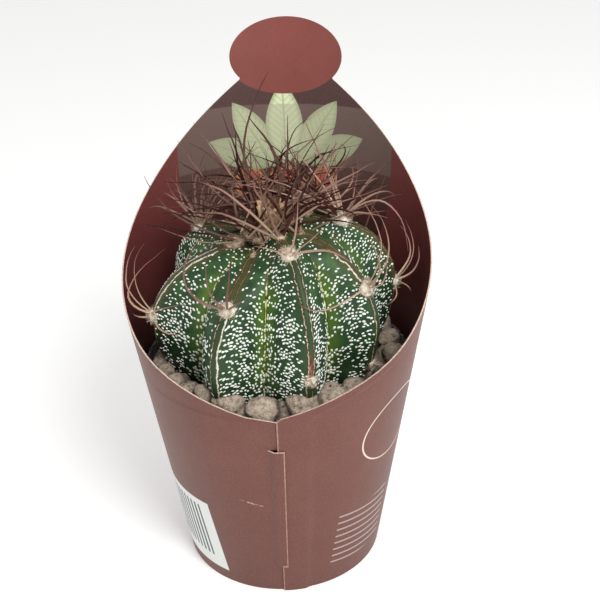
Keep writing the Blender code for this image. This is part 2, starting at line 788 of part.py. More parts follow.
def main():
    for old in list(bpy.data.objects):
        bpy.data.objects.remove(old)
    scene = bpy.context.scene
    plant = bpy.data.collections.new("potted_goats_horn_cactus")
    cutters = bpy.data.collections.new("cutters")
    scene.collection.children.link(plant)
    scene.collection.children.link(cutters)

    board = material("printed_paperboard", (120, 80, 72), 0.6)
    plastic = material("pot_plastic", (38, 42, 47), 0.45)
    soil = material("potting_soil", (62, 48, 38), 0.95)
    pumice = material("pumice_gravel", (185, 165, 145), 0.9)
    skin = material("cactus_skin", (48, 84, 52), 0.5)
    horn = material("wool_and_spines", (150, 112, 100), 0.7)

    add_object("cactus_body", body_mesh(), plant, skin, 60)
    clearance = add_object("body_clearance", body_mesh(0.4 * MM), cutters)
    clearance.hide_render = True
    clearance.display_type = "WIRE"

    build_sleeve(plant, board)
    build_pot(plant, cutters, plastic)
    build_soil(plant, soil, clearance)
    build_gravel(plant, cutters, pumice, clearance)
    paths = build_areoles(plant, horn, clearance)
    build_crown(plant, horn, clearance, paths)


main()
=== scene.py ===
"""A goats horn cactus in its nursery pot, inside a wrapped sleeve of printed paperboard.

The sections follow each other as the plant is potted up: pot, soil, cactus, flecks, areoles, crown, gravel
and sleeve. +Z is up and the sleeve's tall back panel is at +Y. An azimuth is in degrees round +Z, from the
front (-Y) towards the right (+X), so the back panel is at 180.
"""

import math
import random

import bmesh
import bpy
import numpy as np
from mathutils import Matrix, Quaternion, Vector, noise


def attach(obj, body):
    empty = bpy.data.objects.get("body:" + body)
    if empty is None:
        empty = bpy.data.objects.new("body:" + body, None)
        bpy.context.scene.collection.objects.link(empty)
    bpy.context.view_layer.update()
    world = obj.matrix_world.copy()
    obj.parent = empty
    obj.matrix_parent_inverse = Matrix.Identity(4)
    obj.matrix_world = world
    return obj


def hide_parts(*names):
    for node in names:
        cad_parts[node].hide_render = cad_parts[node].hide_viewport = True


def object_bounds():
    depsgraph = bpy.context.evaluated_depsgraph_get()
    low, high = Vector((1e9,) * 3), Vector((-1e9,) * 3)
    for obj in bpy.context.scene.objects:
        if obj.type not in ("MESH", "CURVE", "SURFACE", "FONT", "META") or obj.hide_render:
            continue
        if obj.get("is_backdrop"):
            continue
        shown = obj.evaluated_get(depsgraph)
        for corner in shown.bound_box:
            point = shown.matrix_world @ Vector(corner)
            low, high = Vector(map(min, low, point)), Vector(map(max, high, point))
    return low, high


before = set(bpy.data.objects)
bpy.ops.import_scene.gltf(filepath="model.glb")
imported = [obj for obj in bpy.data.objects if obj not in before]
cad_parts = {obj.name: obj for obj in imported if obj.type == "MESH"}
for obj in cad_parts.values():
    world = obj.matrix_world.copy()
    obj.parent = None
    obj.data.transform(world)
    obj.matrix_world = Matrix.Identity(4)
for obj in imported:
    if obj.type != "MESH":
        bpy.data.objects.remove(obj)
cad_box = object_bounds()

# Studio: a camera a little over the plant, as a buyer looks down at it on a bench, on a plain pale floor,
# with one broad soft light over its right front, a weaker one at its left and white walls all round.
MM = 0.001
CAMERA_PLACE = Vector((32.25, -278.74, 227.92)) * MM
CAMERA_AIM = Vector((6.31, 12.72, 81.95)) * MM
CAMERA_ROLL = -1.538
FLOOR_HALF_WIDTH = 3.0
FLOOR_GLOW = 0.19
WALL_LIGHT = 0.66
LIGHT_AIM = Vector((0, 0, 90)) * MM
SOFT_BOXES = (
    # name, place, width, power in watts
    ("broad_soft_box", (0.36, -0.52, 0.72), 0.40, 5.2),
    ("side_soft_box", (-0.60, -0.35, 0.45), 0.40, 0.15),
)


def linear(code):
    """The linear colour of an sRGB hex code, such as 7A5A4E."""
    shares = [int(code[i : i + 2], 16) / 255 for i in (0, 2, 4)]
    return tuple(s / 12.92 if s <= 0.04045 else ((s + 0.055) / 1.055) ** 2.4 for s in shares) + (1.0,)


def new_surface(name, colour, roughness, **settings):
    """A material with a Principled shader. Returns the material, its tree and the shader."""
    made = bpy.data.materials.new(name)
    made.use_nodes = True
    made.diffuse_color = linear(colour)
    shader = made.node_tree.nodes["Principled BSDF"]
    shader.inputs["Base Color"].default_value = linear(colour)
    shader.inputs["Roughness"].default_value = roughness
    for key, value in settings.items():
        shader.inputs[key.replace("_", " ")].default_value = value
    return made, made.node_tree, shader


def smoothed(mesh, angle):
    """Shades a mesh smooth, but for the edges that are sharper than this angle."""
    mesh.shade_smooth()
    mesh.set_sharp_from_angle(angle=math.radians(angle))


def to_object(name, mesh, surfaces=(), smooth_angle=None):
    """Puts a mesh or a bmesh in a new object at the origin."""
    if isinstance(mesh, bmesh.types.BMesh):
        filled = bpy.data.meshes.new(name)
        mesh.to_mesh(filled)
        mesh.free()
        mesh = filled
    for surface in surfaces:
        mesh.materials.append(surface)
    if smooth_angle is not None:
        smoothed(mesh, smooth_angle)
    made = bpy.data.objects.new(name, mesh)
    bpy.context.scene.collection.objects.link(made)
    return made


camera = bpy.data.objects.new("camera", bpy.data.cameras.new("camera"))
bpy.context.scene.collection.objects.link(camera)
bpy.context.scene.camera = camera
camera.data.lens = 60.0
camera.data.sensor_width = 36.0
camera.data.clip_start = 10 * MM
camera.location = CAMERA_PLACE
camera.rotation_mode = "QUATERNION"
level = (CAMERA_AIM - CAMERA_PLACE).to_track_quat("-Z", "Y")
camera.rotation_quaternion = level @ Quaternion((0, 0, 1), math.radians(CAMERA_ROLL))

bm = bmesh.new()
bmesh.ops.create_grid(bm, x_segments=1, y_segments=1, size=FLOOR_HALF_WIDTH)
paper, tree, shader = new_surface("white_backdrop_paper", "FDFDFC", 0.9, Emission_Strength=FLOOR_GLOW)
shader.inputs["Emission Color"].default_value = linear("FFFFFF")
floor = to_object("floor", bm, [paper])
floor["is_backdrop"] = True
white = bpy.data.worlds.new("white_walls")
white.use_nodes = True
white.node_tree.nodes["Background"].inputs["Color"].default_value = linear("FFFFFF")
white.node_tree.nodes["Background"].inputs["Strength"].default_value = WALL_LIGHT
bpy.context.scene.world = white
bpy.context.scene.view_settings.view_transform = "Standard"
for name, place, width, power in SOFT_BOXES:
    light = bpy.data.objects.new(name, bpy.data.lights.new(name, "AREA"))
    light.data.shape = "DISK"
    light.data.size = width
    light.data.energy = power
    light.location = place
    light.rotation_mode = "QUATERNION"
    light.rotation_quaternion = (LIGHT_AIM - light.location).to_track_quat("-Z", "Y")
    bpy.context.scene.collection.objects.link(light)

# Nursery pot: a thin cup of recycled polypropylene, pressed from one sheet, near black with a blue cast.
# Its rolled lip is scuffed grey where the pots rubbed in their stack, and its floor has six drain holes.
POT_RIM_RADIUS = 42.5 * MM
POT_HEIGHT = 69.5 * MM
POT_BASE_RADIUS = 28.8 * MM
POT_WALL = 0.8 * MM
POT_FLOOR = 1.2 * MM
POT_LIP_WIDTH = 1.5 * MM
POT_LIP_HEIGHT = 4.0 * MM
LIP_BOTTOM = POT_HEIGHT - POT_LIP_HEIGHT
LIP_TAPER = 0.7 * MM
DRAIN_HOLES = 6
DRAIN_RADIUS = 3.0 * MM
DRAIN_CIRCLE = 20.0 * MM
TURNING_STEPS = 160


class Wire:
    """What leaves a node. Arithmetic on it adds Math nodes to its tree."""

    def __init__(self, socket):
        self.socket = socket
        self.node = socket.node
        self.tree = socket.id_data

    def into(self, node, name):
        """Leads it to a node's input."""
        self.tree.links.new(self.socket, node.inputs[name])

    def maths(self, operation, other=0.0):
        """Adds a Math node that takes it first."""
        return add_node(self.tree, "ShaderNodeMath", {0: self, 1: other}, operation=operation)

    def taken_second(self, operation, other):
        """Adds a Math node that takes it second."""
        return add_node(self.tree, "ShaderNodeMath", {0: other, 1: self}, operation=operation)

    def __add__(self, other):
        return self.maths("ADD", other)

    def __sub__(self, other):
        return self.maths("SUBTRACT", other)

    def __mul__(self, other):
        return self.maths("MULTIPLY", other)

    def __truediv__(self, other):
        return self.maths("DIVIDE", other)

    def __rsub__(self, other):
        return self.taken_second("SUBTRACT", other)

    def __rtruediv__(self, other):
        return self.taken_second("DIVIDE", other)

    def __abs__(self):
        return self.maths("ABSOLUTE")


def add_node(tree, kind, inputs=None, output=0, **settings):
    """Adds a node, sets its options, gives each input its value or wire, and returns the asked output."""
    made = tree.nodes.new(kind)
    for name, value in settings.items():
        setattr(made, name, value)
    for name, value in (inputs or {}).items():
        if isinstance(value, Wire):
            value.into(made, name)
        else:
            made.inputs[name].default_value = value
    return Wire(made.outputs[output])


def blended(first, second, share):
    """Mixes two colours, wires or hex codes, by a share."""
    first, second = (linear(colour) if isinstance(colour, str) else colour for colour in (first, second))
    return add_node(share.tree, "ShaderNodeMix", {0: share, 6: first, 7: second}, 2, data_type="RGBA")


def rises(value, low, high):
    """Goes smoothly from 0 to 1 as the value goes from low to high. It falls where low is above high."""
    inputs = {"Value": value, 1: min(low, high), 2: max(low, high)}
    inputs.update({3: 0.0, 4: 1.0} if low < high else {3: 1.0, 4: 0.0})
    return add_node(value.tree, "ShaderNodeMapRange", inputs, interpolation_type="SMOOTHSTEP")


def speckle(tree, size_mm, detail=3.0, roughness=0.55, distortion=0.0, stretch=(1, 1, 1)):
    """Noise whose grains are about this size on the real object."""
    scale = tuple(1 / (size_mm * MM * s) for s in stretch)
    place = add_node(tree, "ShaderNodeTexCoord", output=3)
    place = add_node(tree, "ShaderNodeMapping", {"Vector": place, "Scale": scale})
    inputs = {"Vector": place, "Scale": 1.0, "Detail": detail, "Distortion": distortion}
    return add_node(tree, "ShaderNodeTexNoise", {**inputs, "Roughness": roughness})


def bump(shader, height, depth_mm, strength=1.0):
    """Raises the surface by this depth where height is 1."""
    inputs = {"Height": height, "Distance": depth_mm * MM, "Strength": strength}
    add_node(height.tree, "ShaderNodeBump", inputs).into(shader, "Normal")


def made_plain(piece):
    """Gives the object the mesh that its modifiers make, and removes them."""
    graph = bpy.context.evaluated_depsgraph_get()
    graph.update()
    mesh = bpy.data.meshes.new_from_object(piece.evaluated_get(graph))
    mesh.name = piece.name
    for slot in reversed(range(len(mesh.materials))):
        if mesh.materials[slot] is None:
            mesh.materials.pop(index=slot)
    piece.modifiers.clear()
    piece.data = mesh
    return piece


def modified(piece, kind, **settings):
    """Puts the object through one modifier."""
    modifier = piece.modifiers.new(kind, kind)
    for name, value in settings.items():
        setattr(modifier, name, value)
    return made_plain(piece)


def settle(piece, slot, *nodes):
    """Fixes a finished piece to the model's one body, in the place of these nodes."""
    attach(piece, "root")
    if nodes:
        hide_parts(*nodes)


def on_ring(azimuth, radius, height):
    """The point at this azimuth and distance from the axis."""
    angle = math.radians(azimuth)
    return Vector((radius * math.sin(angle), -radius * math.cos(angle), height))


def pot_wall_radius(height):
    """Radius of the pot's outer wall."""
    top_radius = POT_RIM_RADIUS - POT_LIP_WIDTH + POT_WALL * 0.4
    return POT_BASE_RADIUS + (top_radius - POT_BASE_RADIUS) * height / LIP_BOTTOM


polypropylene, tree, shader = new_surface("pressed_polypropylene", "23282E", 0.42)
height = add_node(tree, "ShaderNodeSeparateXYZ", {0: add_node(tree, "ShaderNodeTexCoord", output=3)}, 2)
scuffs = rises(speckle(tree, 2.2, 4.0, 0.7, 0.6, (1, 1, 0.35)), 0.42, 0.62)
scuffed = rises(height, 63.5 * MM, 66.5 * MM) * scuffs * 0.8
dusty = blended("23282E", "3B3F42", rises(speckle(tree, 6.0, 5.0, 0.7), 0.45, 0.75))
blended(dusty, "86827F", scuffed).into(shader, "Base Color")
rises(scuffed, -0.6, 1.3).into(shader, "Roughness")
bump(shader, speckle(tree, 0.35, 2.0), 0.05, 0.5)

# The pot's section from the middle of its floor, up the inside, over the lip and down the outside.
inner_top = POT_RIM_RADIUS - POT_LIP_WIDTH
inner_floor = pot_wall_radius(POT_FLOOR) - POT_WALL
outline = [
    (0, POT_FLOOR),
    (inner_floor - 1.5 * MM, POT_FLOOR),
    (inner_floor - 0.4 * MM, POT_FLOOR + 0.4 * MM),
    (inner_floor, POT_FLOOR + 1.5 * MM),
    (pot_wall_radius(LIP_BOTTOM) - POT_WALL, LIP_BOTTOM),
    (inner_top, POT_HEIGHT - 0.7 * MM),
    (inner_top + 0.2 * MM, POT_HEIGHT - 0.2 * MM),
    (inner_top + 0.5 * MM, POT_HEIGHT),
    (POT_RIM_RADIUS - 0.5 * MM, POT_HEIGHT),
    (POT_RIM_RADIUS - 0.15 * MM, POT_HEIGHT - 0.2 * MM),
    (POT_RIM_RADIUS, POT_HEIGHT - 0.7 * MM),
    (POT_RIM_RADIUS - LIP_TAPER, LIP_BOTTOM),
    (pot_wall_radius(LIP_BOTTOM), LIP_BOTTOM),
    (POT_BASE_RADIUS, 1.0 * MM),
    (POT_BASE_RADIUS - 0.3 * MM, 0.3 * MM),
    (POT_BASE_RADIUS - 1.0 * MM, 0),
    (0, 0),
]
bm = bmesh.new()
points = [bm.verts.new((radius, 0, z)) for radius, z in outline]
for first, second in zip(points, points[1:]):
    bm.edges.new((first, second))
pot = to_object("pressed_nursery_pot", bm, [polypropylene])
turning = {"steps": TURNING_STEPS, "render_steps": TURNING_STEPS}
modified(pot, "SCREW", use_merge_vertices=True, merge_threshold=0.01 * MM, **turning)
bm = bmesh.new()
ends = {"radius1": DRAIN_RADIUS, "radius2": DRAIN_RADIUS, "depth": 6 * MM}
for index in range(DRAIN_HOLES):
    punch = bmesh.ops.create_cone(bm, cap_ends=True, segments=32, **ends)
    middle = on_ring(360 / DRAIN_HOLES * index, DRAIN_CIRCLE, POT_FLOOR / 2)
    bmesh.ops.translate(bm, verts=punch["verts"], vec=middle)
punches = to_object("drain_punches", bm)
modified(pot, "BOOLEAN", operation="DIFFERENCE", object=punches, solver="EXACT")
bpy.data.objects.remove(punches)
smoothed(pot.data, 35)
settle(pot, "pot_plastic", "nursery_pot")

# Soil: peat with crumbs of bark, packed by watering. It fills the pot under the gravel and shows only at
# the drain holes, so it keeps its solid and gets a finish alone.


def ramp(value, *stops):
    """A colour ramp over (place, hex code) stops."""
    out = add_node(value.tree, "ShaderNodeValToRGB", {"Fac": value})
    elements = out.node.color_ramp.elements
    for index, (place, code) in enumerate(stops):
        element = elements[index] if index < 2 else elements.new(place)
        element.position = place
        element.color = linear(code)
    return out


peat, tree, shader = new_surface("damp_peat", "2E221A", 0.95)
crumbs = speckle(tree, 1.6, 6.0, 0.7)
ramp(crumbs, (0.3, "17100C"), (0.55, "35271D"), (0.72, "5A4534")).into(shader, "Base Color")
bump(shader, crumbs, 0.8)
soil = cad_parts["potting_soil"]
soil.data.materials.clear()
soil.data.materials.append(peat)

# Cactus: one globe of eight sharp ribs that leans to the front. Its waxy skin is dark green, yellow-green
# along the furrows, with a pair of corky cream lines along each ridge.
BODY_CENTRE = Vector((-2.4 * MM, 0.3 * MM, 60.0 * MM))
BODY_LEAN = (0.06, -0.17)
BODY_RADIUS = 36.4 * MM
BODY_WIDEST = 32.0 * MM
BODY_DOME = 24.0 * MM
BODY_FOOT_RADIUS = 26.0 * MM
BODY_NECK_RADIUS = 11.0 * MM
BODY_NECK_DEPTH = 8.0 * MM
CROWN_DIP = 2.0 * MM
CROWN_DIP_RADIUS = 6.0 * MM
CROWN_SHIFT = Vector((-2.2 * MM, 1.0 * MM, 0.0))
CROWN_SHIFT_END = 0.3
SHOULDER_POWER = 0.68
DOME_POWER = 1.15
WAIST_POWER = 2.2
FURROW_DEPTH = 0.32
# Azimuth, size and height of each rib, in order round the plant.
RIBS = (
    (-120.0, 1.04, 0.94),
    (-70.0, 1.02, 0.94),
    (-21.6, 1.01, 0.94),
    (22.5, 1.01, 1.06),
    (66.4, 0.98, 1.03),
    (104.0, 1.06, 1.08),
    (150.0, 1.00, 1.05),
    (196.0, 1.00, 0.98),
)
BACK_LEFT, LEFT, FRONT_LEFT, FRONT, RIGHT, FAR_RIGHT, BACK_RIGHT, BACK = range(8)
# Where the large areole of each rib sits, from the growing point (0) to the widest place (1).
LARGE_AREOLES = (0.44, 0.94, 0.48, 0.20, 0.60, 1.0, 0.55, 0.60)
FACE_COLUMNS = 44
UPPER_ROWS = 100
LOWER_ROWS = 90
SKIN_WAVE = 0.35 * MM
# Ridge lines lit by a painted highlight: rib, side of the ridge and the stretch of it, as places.
HIGHLIT_RIDGE_LINES = (
    (FRONT_LEFT, 1, 0.5, 1.7),
    (LEFT, -1, 0.2, 1.3),
    (LEFT, 1, 0.2, 0.9),
    (RIGHT, 1, 0.75, 1.6),
    (RIGHT, -1, 0.3, 0.55),
)
# Where the flecks crowd: rib, distance from the ridge in millimetres (plus to its right) and the reach of
# the patch there, then its place down the ridge, the reach of that, and how much it adds.
PATCHES = (
    (FRONT, 3.4, 2.0, 0.80, 0.32, 1.1),
    (FRONT_LEFT, 6.0, 3.2, 0.72, 0.16, 0.9),
    (FRONT_LEFT, 11.0, 3.0, 1.15, 0.35, 0.5),
    (FRONT, -8.0, 4.0, 0.90, 0.25, 0.5),
    (FRONT, -6.0, 5.0, 0.38, 0.22, 0.5),
    (LEFT, 8.0, 4.0, 0.85, 0.22, 0.8),
    (RIGHT, -9.0, 3.5, 0.75, 0.22, 0.8),
    (FAR_RIGHT, -6.0, 4.0, 0.45, 0.2, 0.9),
    (BACK_LEFT, 6.0, 5.0, 0.70, 0.3, 0.3),
    (BACK, 6.0, 4.0, 0.80, 0.3, 0.7),
    (BACK_RIGHT, -6.0, 4.0, 0.75, 0.3, 0.7),
)


def lean(point):
    """Tips a point on the upright body over by the plant's lean, and moves it to the plant's place."""
    x, y, z = point
    lean_x, lean_y = BODY_LEAN
    return BODY_CENTRE + Vector((x + lean_x * z, y + lean_y * z, z - lean_x * x - lean_y * y))


def ridge_profile(t):
    """Distance from the axis and height over the gravel, from the crown (0) by the widest place (1) to
    the foot (2) and the end of the neck (3)."""
    if t < 1:
        angle = t * math.pi / 2
        radius = BODY_RADIUS * math.sin(angle) ** SHOULDER_POWER
        return radius, BODY_WIDEST + BODY_DOME * math.cos(angle) ** DOME_POWER
    if t <= 2:
        share = t - 1
        radius = BODY_RADIUS - (BODY_RADIUS - BODY_FOOT_RADIUS) * share**WAIST_POWER
        return radius, BODY_WIDEST * (1 - share)
    share = t - 2
    radius = BODY_FOOT_RADIUS + (BODY_NECK_RADIUS - BODY_FOOT_RADIUS) * math.sin(share * math.pi / 2)
    return radius, -BODY_NECK_DEPTH * share


def body_point(t, azimuth, size, tall, furrow):
    """A point of the skin, from a ridge (furrow 0) to the bottom of a furrow (1)."""
    radius, height = ridge_profile(t)
    depth = FURROW_DEPTH * math.sin(min(t, 1.0) * math.pi / 2) ** 0.4
    if t > 1:
        depth = FURROW_DEPTH * (1 - 0.35 * min(t - 1, 1.0))
    if t > 2:
        depth *= 3 - t
    radius *= size * (1 - depth * furrow)
    height *= tall if height > 0 else 1
    height -= CROWN_DIP * math.exp(-((radius / CROWN_DIP_RADIUS) ** 2)) if t < 1 else 0
    shift = CROWN_SHIFT * max(0.0, 1 - t / CROWN_SHIFT_END) ** 2
    return lean(on_ring(azimuth, radius, height) + shift)


def ridge_point(rib, t):
    """A point of a rib's ridge."""
    azimuth, size, tall = RIBS[rib]
    return body_point(t, azimuth, size, tall, 0.0)


def ridge_normal(rib, t):
    """Outward direction at a point of a ridge."""
    azimuth = math.radians(RIBS[rib][0])
    along = ridge_point(rib, t + 0.02) - ridge_point(rib, t - 0.02)
    across = Vector((math.cos(azimuth), math.sin(azimuth), 0))
    return along.cross(across).normalized() * -1


def fullness(furrow):
    """Distance from the ridge (0) to the furrow (1) as the skin takes it: a narrow flat on the ridge,
    a face that swells a little, and a tight crease."""
    return max(0.0, furrow - 0.035) ** 1.12 * 1.04 if furrow < 0.9 else furrow**1.02


skin_rows = UPPER_ROWS + LOWER_ROWS
columns = len(RIBS) * FACE_COLUMNS
places = [0.012 + 0.988 * (i / UPPER_ROWS) ** 1.15 for i in range(UPPER_ROWS)]
places += [1 + 2 * i / (LOWER_ROWS - 1) for i in range(LOWER_ROWS)]
skin_points = np.zeros((skin_rows, columns, 3))
for row, t in enumerate(places):
    for column in range(columns):
        rib, step = divmod(column, FACE_COLUMNS)
        share = step / FACE_COLUMNS
        share += 0.035 * math.sin(2 * math.tau * share)
        azimuth, size, tall = RIBS[rib]
        next_azimuth, next_size, next_tall = RIBS[(rib + 1) % len(RIBS)]
        azimuth += (next_azimuth - azimuth) % 360 * share
        size += (next_size - size) * share
        tall += (next_tall - tall) * share
        point = body_point(t, azimuth, size, tall, fullness(1 - abs(2 * share - 1)))
        ripple = noise.noise(point * 140) * SKIN_WAVE * min(1.0, 3 * t)
        outward = (point - lean((0, 0, BODY_WIDEST))).normalized()
        skin_points[row, column] = point + outward * ripple
# Each point's distance along the skin to its ridge (signed) and to its furrow, and down from the crown.
steps = np.linalg.norm(np.roll(skin_points, -1, axis=1) - skin_points, axis=2)
from_ridge = np.zeros((skin_rows, columns))
from_furrow = np.zeros((skin_rows, columns))
half = FACE_COLUMNS // 2
for rib in range(len(RIBS)):
    face = slice(rib * FACE_COLUMNS, (rib + 1) * FACE_COLUMNS)
    reach = np.concatenate([np.zeros((skin_rows, 1)), np.cumsum(steps[:, face], axis=1)], axis=1)
    here = reach[:, :-1]
    furrow_at = reach[:, half : half + 1]
    from_ridge[:, face] = np.where(here < furrow_at, here, here - reach[:, -1:])
    from_furrow[:, face] = np.abs(here - furrow_at)
down = np.zeros((skin_rows, columns))
down[1:] = np.cumsum(np.linalg.norm(np.diff(skin_points, axis=0), axis=2), axis=0)
rib_of = np.array([((c + half) // FACE_COLUMNS) % len(RIBS) for c in range(columns)])[None, :]
place_of_row = np.array(places)[:, None]

bm = bmesh.new()
rows = [[bm.verts.new(point) for point in row] for row in skin_points]
top = bm.verts.new(body_point(0.0, 0.0, 1.0, 1.0, 0.0))
bottom = bm.verts.new(lean((0, 0, -BODY_NECK_DEPTH)))
for column in range(columns):
    following = (column + 1) % columns
    bm.faces.new((top, rows[0][column], rows[0][following]))
    bm.faces.new((bottom, rows[-1][following], rows[-1][column]))
    for upper, lower in zip(rows, rows[1:]):
        bm.faces.new((upper[column], lower[column], lower[following], upper[following]))


def store(mesh, name, values, kind="FLOAT"):
    """Keeps one value for each vertex on the mesh, under a name that a material or a tree can read."""
    layer = mesh.attributes.new(name, kind, "POINT")
    key = "value" if kind == "FLOAT" else "vector"
    layer.data.foreach_set(key, np.asarray(values, np.float32).ravel())


def store_on_skin(name, values, at_top=0.0, at_bottom=0.0):
    """Keeps one value for each point of the skin's rows, and for its top and its bottom."""
    values = np.broadcast_to(values, down.shape).ravel()
    store(cactus.data, name, np.concatenate([values, [at_top, at_bottom]]))


def read(tree, name, output=2):
    """A stored value in a material: output 2 is a number and 1 a vector."""
    return add_node(tree, "ShaderNodeAttribute", output=output, attribute_name=name)


skin, tree, shader = new_surface("waxy_cactus_skin", "2C5A35", 0.48, Specular_IOR_Level=0.28)
wander = (speckle(tree, 3.4, 4.0, 0.65) - 0.5) * 2.2
off_ridge_mm = abs(read(tree, "from_ridge")) * (1 / MM) + wander
off_furrow_mm = read(tree, "from_furrow") * (1 / MM) + wander
over = read(tree, "over_areole")
place = read(tree, "place")
ridge_highlight = read(tree, "ridge_highlight")
shades = ramp(speckle(tree, 7.0, 4.0, 0.6), (0.3, "1A331B"), (0.5, "264525"), (0.7, "3C602C"))
# Painted shade: the skin darkens down to its widest place, and more under it towards the pot.
shades = blended(shades, "16301D", rises(place, 0.2, 1.0) * 0.5)
shades = blended(shades, "0F2216", rises(place, 1.2, 1.9) * 0.6)
middle = rises(place, 0.25, 0.6) * rises(place, 1.6, 1.1)
shades = blended(shades, "587722", rises(off_furrow_mm, 6.0, 0.3) * middle * 0.8)
shades = blended(shades, blended("2E4426", "4E4B26", over), rises(off_ridge_mm, 4.0, 1.0) * 0.8)
crease = abs(off_furrow_mm)
# Painted shade darkens the skin along the crease of each furrow.
shades = blended(shades, "33321A", rises(crease, 0.75, 0.3) * 0.75)
off_line = abs(off_ridge_mm - 1.05)
shades = blended(shades, "3A281A", rises(off_line, 0.6, 0.28) * 0.85)
scab = speckle(tree, 1.0, 3.0, 0.6, stretch=(1, 1, 3))
scab = ramp(scab, (0.35, "3A1714"), (0.55, "7A4638"), (0.7, "A88C78"))
shades = blended(shades, scab, rises(off_ridge_mm, 1.3, 0.7) * read(tree, "scar"))
broken = rises(speckle(tree, 1.1, 3.0, 0.7), 0.38, 0.52)
shades = blended(shades, "D6D796", rises(crease, 0.32, 0.16) * middle * broken)
cork = rises(off_line, 0.24, 0.08) * broken
# The cork lines are pale cream. A painted highlight makes them whiter, and wider in beads, along the lit
# ridge lines.
cork_and_highlight = blended(blended("BDB595", "8D7A50", over), "E6E4D2", ridge_highlight)
beads = rises(speckle(tree, 0.7, 2.0), 0.4, 0.52) * 0.65 + 0.35
thick_highlight = rises(off_line, 0.36, 0.16) * ridge_highlight * beads
blended(shades, cork_and_highlight, cork.maths("MAXIMUM", thick_highlight)).into(shader, "Base Color")
bump(shader, cork * 0.8 + speckle(tree, 0.5, 3.0) * 0.3, 0.25, 0.8)

cactus = to_object("ribbed_cactus_body", bm, [skin], 50)
store_on_skin("from_ridge", from_ridge)
store_on_skin("from_furrow", from_furrow)
store_on_skin("down", down)
store_on_skin("place", place_of_row, 0.0, 3.0)
to_areole = np.array(LARGE_AREOLES)[rib_of] - place_of_row
store_on_skin("over_areole", np.clip(to_areole / 0.05 + 0.5, 0, 1), 1.0)
# Where each ridge line carries its painted highlight.
lines = np.zeros_like(down)
for rib, facing, first, last in HIGHLIT_RIDGE_LINES:
    on_face = (rib_of == rib) & (np.sign(from_ridge) == facing)
    lines[on_face & (place_of_row > first) & (place_of_row < last)] = 1.0
store_on_skin("ridge_highlight", lines)
# An old scar between the front ridge's lines, over its lowest areole.
store_on_skin("scar", np.exp(-(((place_of_row - 1.02) / 0.13) ** 4)) * (rib_of == FRONT))
crowd = 0.5 + 0.2 * np.clip((place_of_row - 0.12) / 0.55, 0, 1) + np.zeros_like(down)
for rib, middle_mm, reach_mm, middle_place, reach_place, more in PATCHES:
    aside = (from_ridge / MM - middle_mm) / reach_mm
    lengthwise = (place_of_row - middle_place) / reach_place
    crowd += more * (np.exp(-(aside**2) - lengthwise**2) * (rib_of == rib))
foot = np.exp(-((from_furrow / MM / 3.0) ** 2)) * np.exp(-(((place_of_row - 1.45) / 0.3) ** 2))
store_on_skin("crowd", np.clip(crowd + 0.5 * foot, 0, 1.5), 0.1)
store_on_skin("at_foot", foot)
settle(cactus, "cactus_skin", "cactus_body")

# Wool flecks: thousands of white tufts about 0.8 mm wide that the skin grows, in short slanting rows. They
# crowd on the lower faces and beside the furrows, and leave a bare strip along each ridge.
FLECK_SEED = 4
# The place down the plant where the soil begins, and from which no fleck grows.
SOIL_LEVEL = 2.0


def new_geometry_tree(name, **sizes):
    """A Geometry Nodes tree that takes in a mesh, with a named input for each size. Returns the tree and
    what its inputs give, by name."""
    tree = bpy.data.node_groups.new(name, "GeometryNodeTree")
    tree.interface.new_socket("Geometry", in_out="INPUT", socket_type="NodeSocketGeometry")
    tree.interface.new_socket("Geometry", in_out="OUTPUT", socket_type="NodeSocketGeometry")
    for label, value in sizes.items():
        kind = "NodeSocketInt" if isinstance(value, int) else "NodeSocketFloat"
        tree.interface.new_socket(label, in_out="INPUT", socket_type=kind).default_value = value
    entry = tree.nodes.new("NodeGroupInput")
    return tree, {socket.name: Wire(socket) for socket in entry.outputs if socket.name}


def hand_out(geometry, surface):
    """Ends a tree: its geometry leaves it as a real and smooth mesh of this material."""
    for kind in ("GeometryNodeRealizeInstances", "GeometryNodeSetShadeSmooth"):
        geometry = add_node(geometry.tree, kind, {0: geometry})
    geometry = add_node(geometry.tree, "GeometryNodeSetMaterial", {"Geometry": geometry, "Material": surface})
    geometry.into(geometry.tree.nodes.new("NodeGroupOutput"), 0)


def stored(tree, name, kind="FLOAT"):
    """A value stored on the mesh, read inside a Geometry Nodes tree."""
    return add_node(tree, "GeometryNodeInputNamedAttribute", {"Name": name}, data_type=kind)


def grow(piece, tree, **sizes):
    """Runs the tree on the object with these sizes and leaves a plain mesh."""
    modifier = piece.modifiers.new(tree.name, "NODES")
    modifier.node_group = tree
    for socket in tree.interface.items_tree:
        if socket.in_out == "INPUT" and socket.name in sizes:
            modifier[socket.identifier] = sizes[socket.name]
    return made_plain(piece)


tuft, tree, shader = new_surface("fleck_wool", "DCE6D6", 0.95)
white_wool = ramp(speckle(tree, 0.9, 2.0), (0.3, "D0DCC8"), (0.6, "FAFDF6"))
by_furrow = rises(read(tree, "from_furrow"), 2.2 * MM, 0.6 * MM) * 0.4
blended(white_wool, "DCE09A", by_furrow).into(shader, "Base Color")

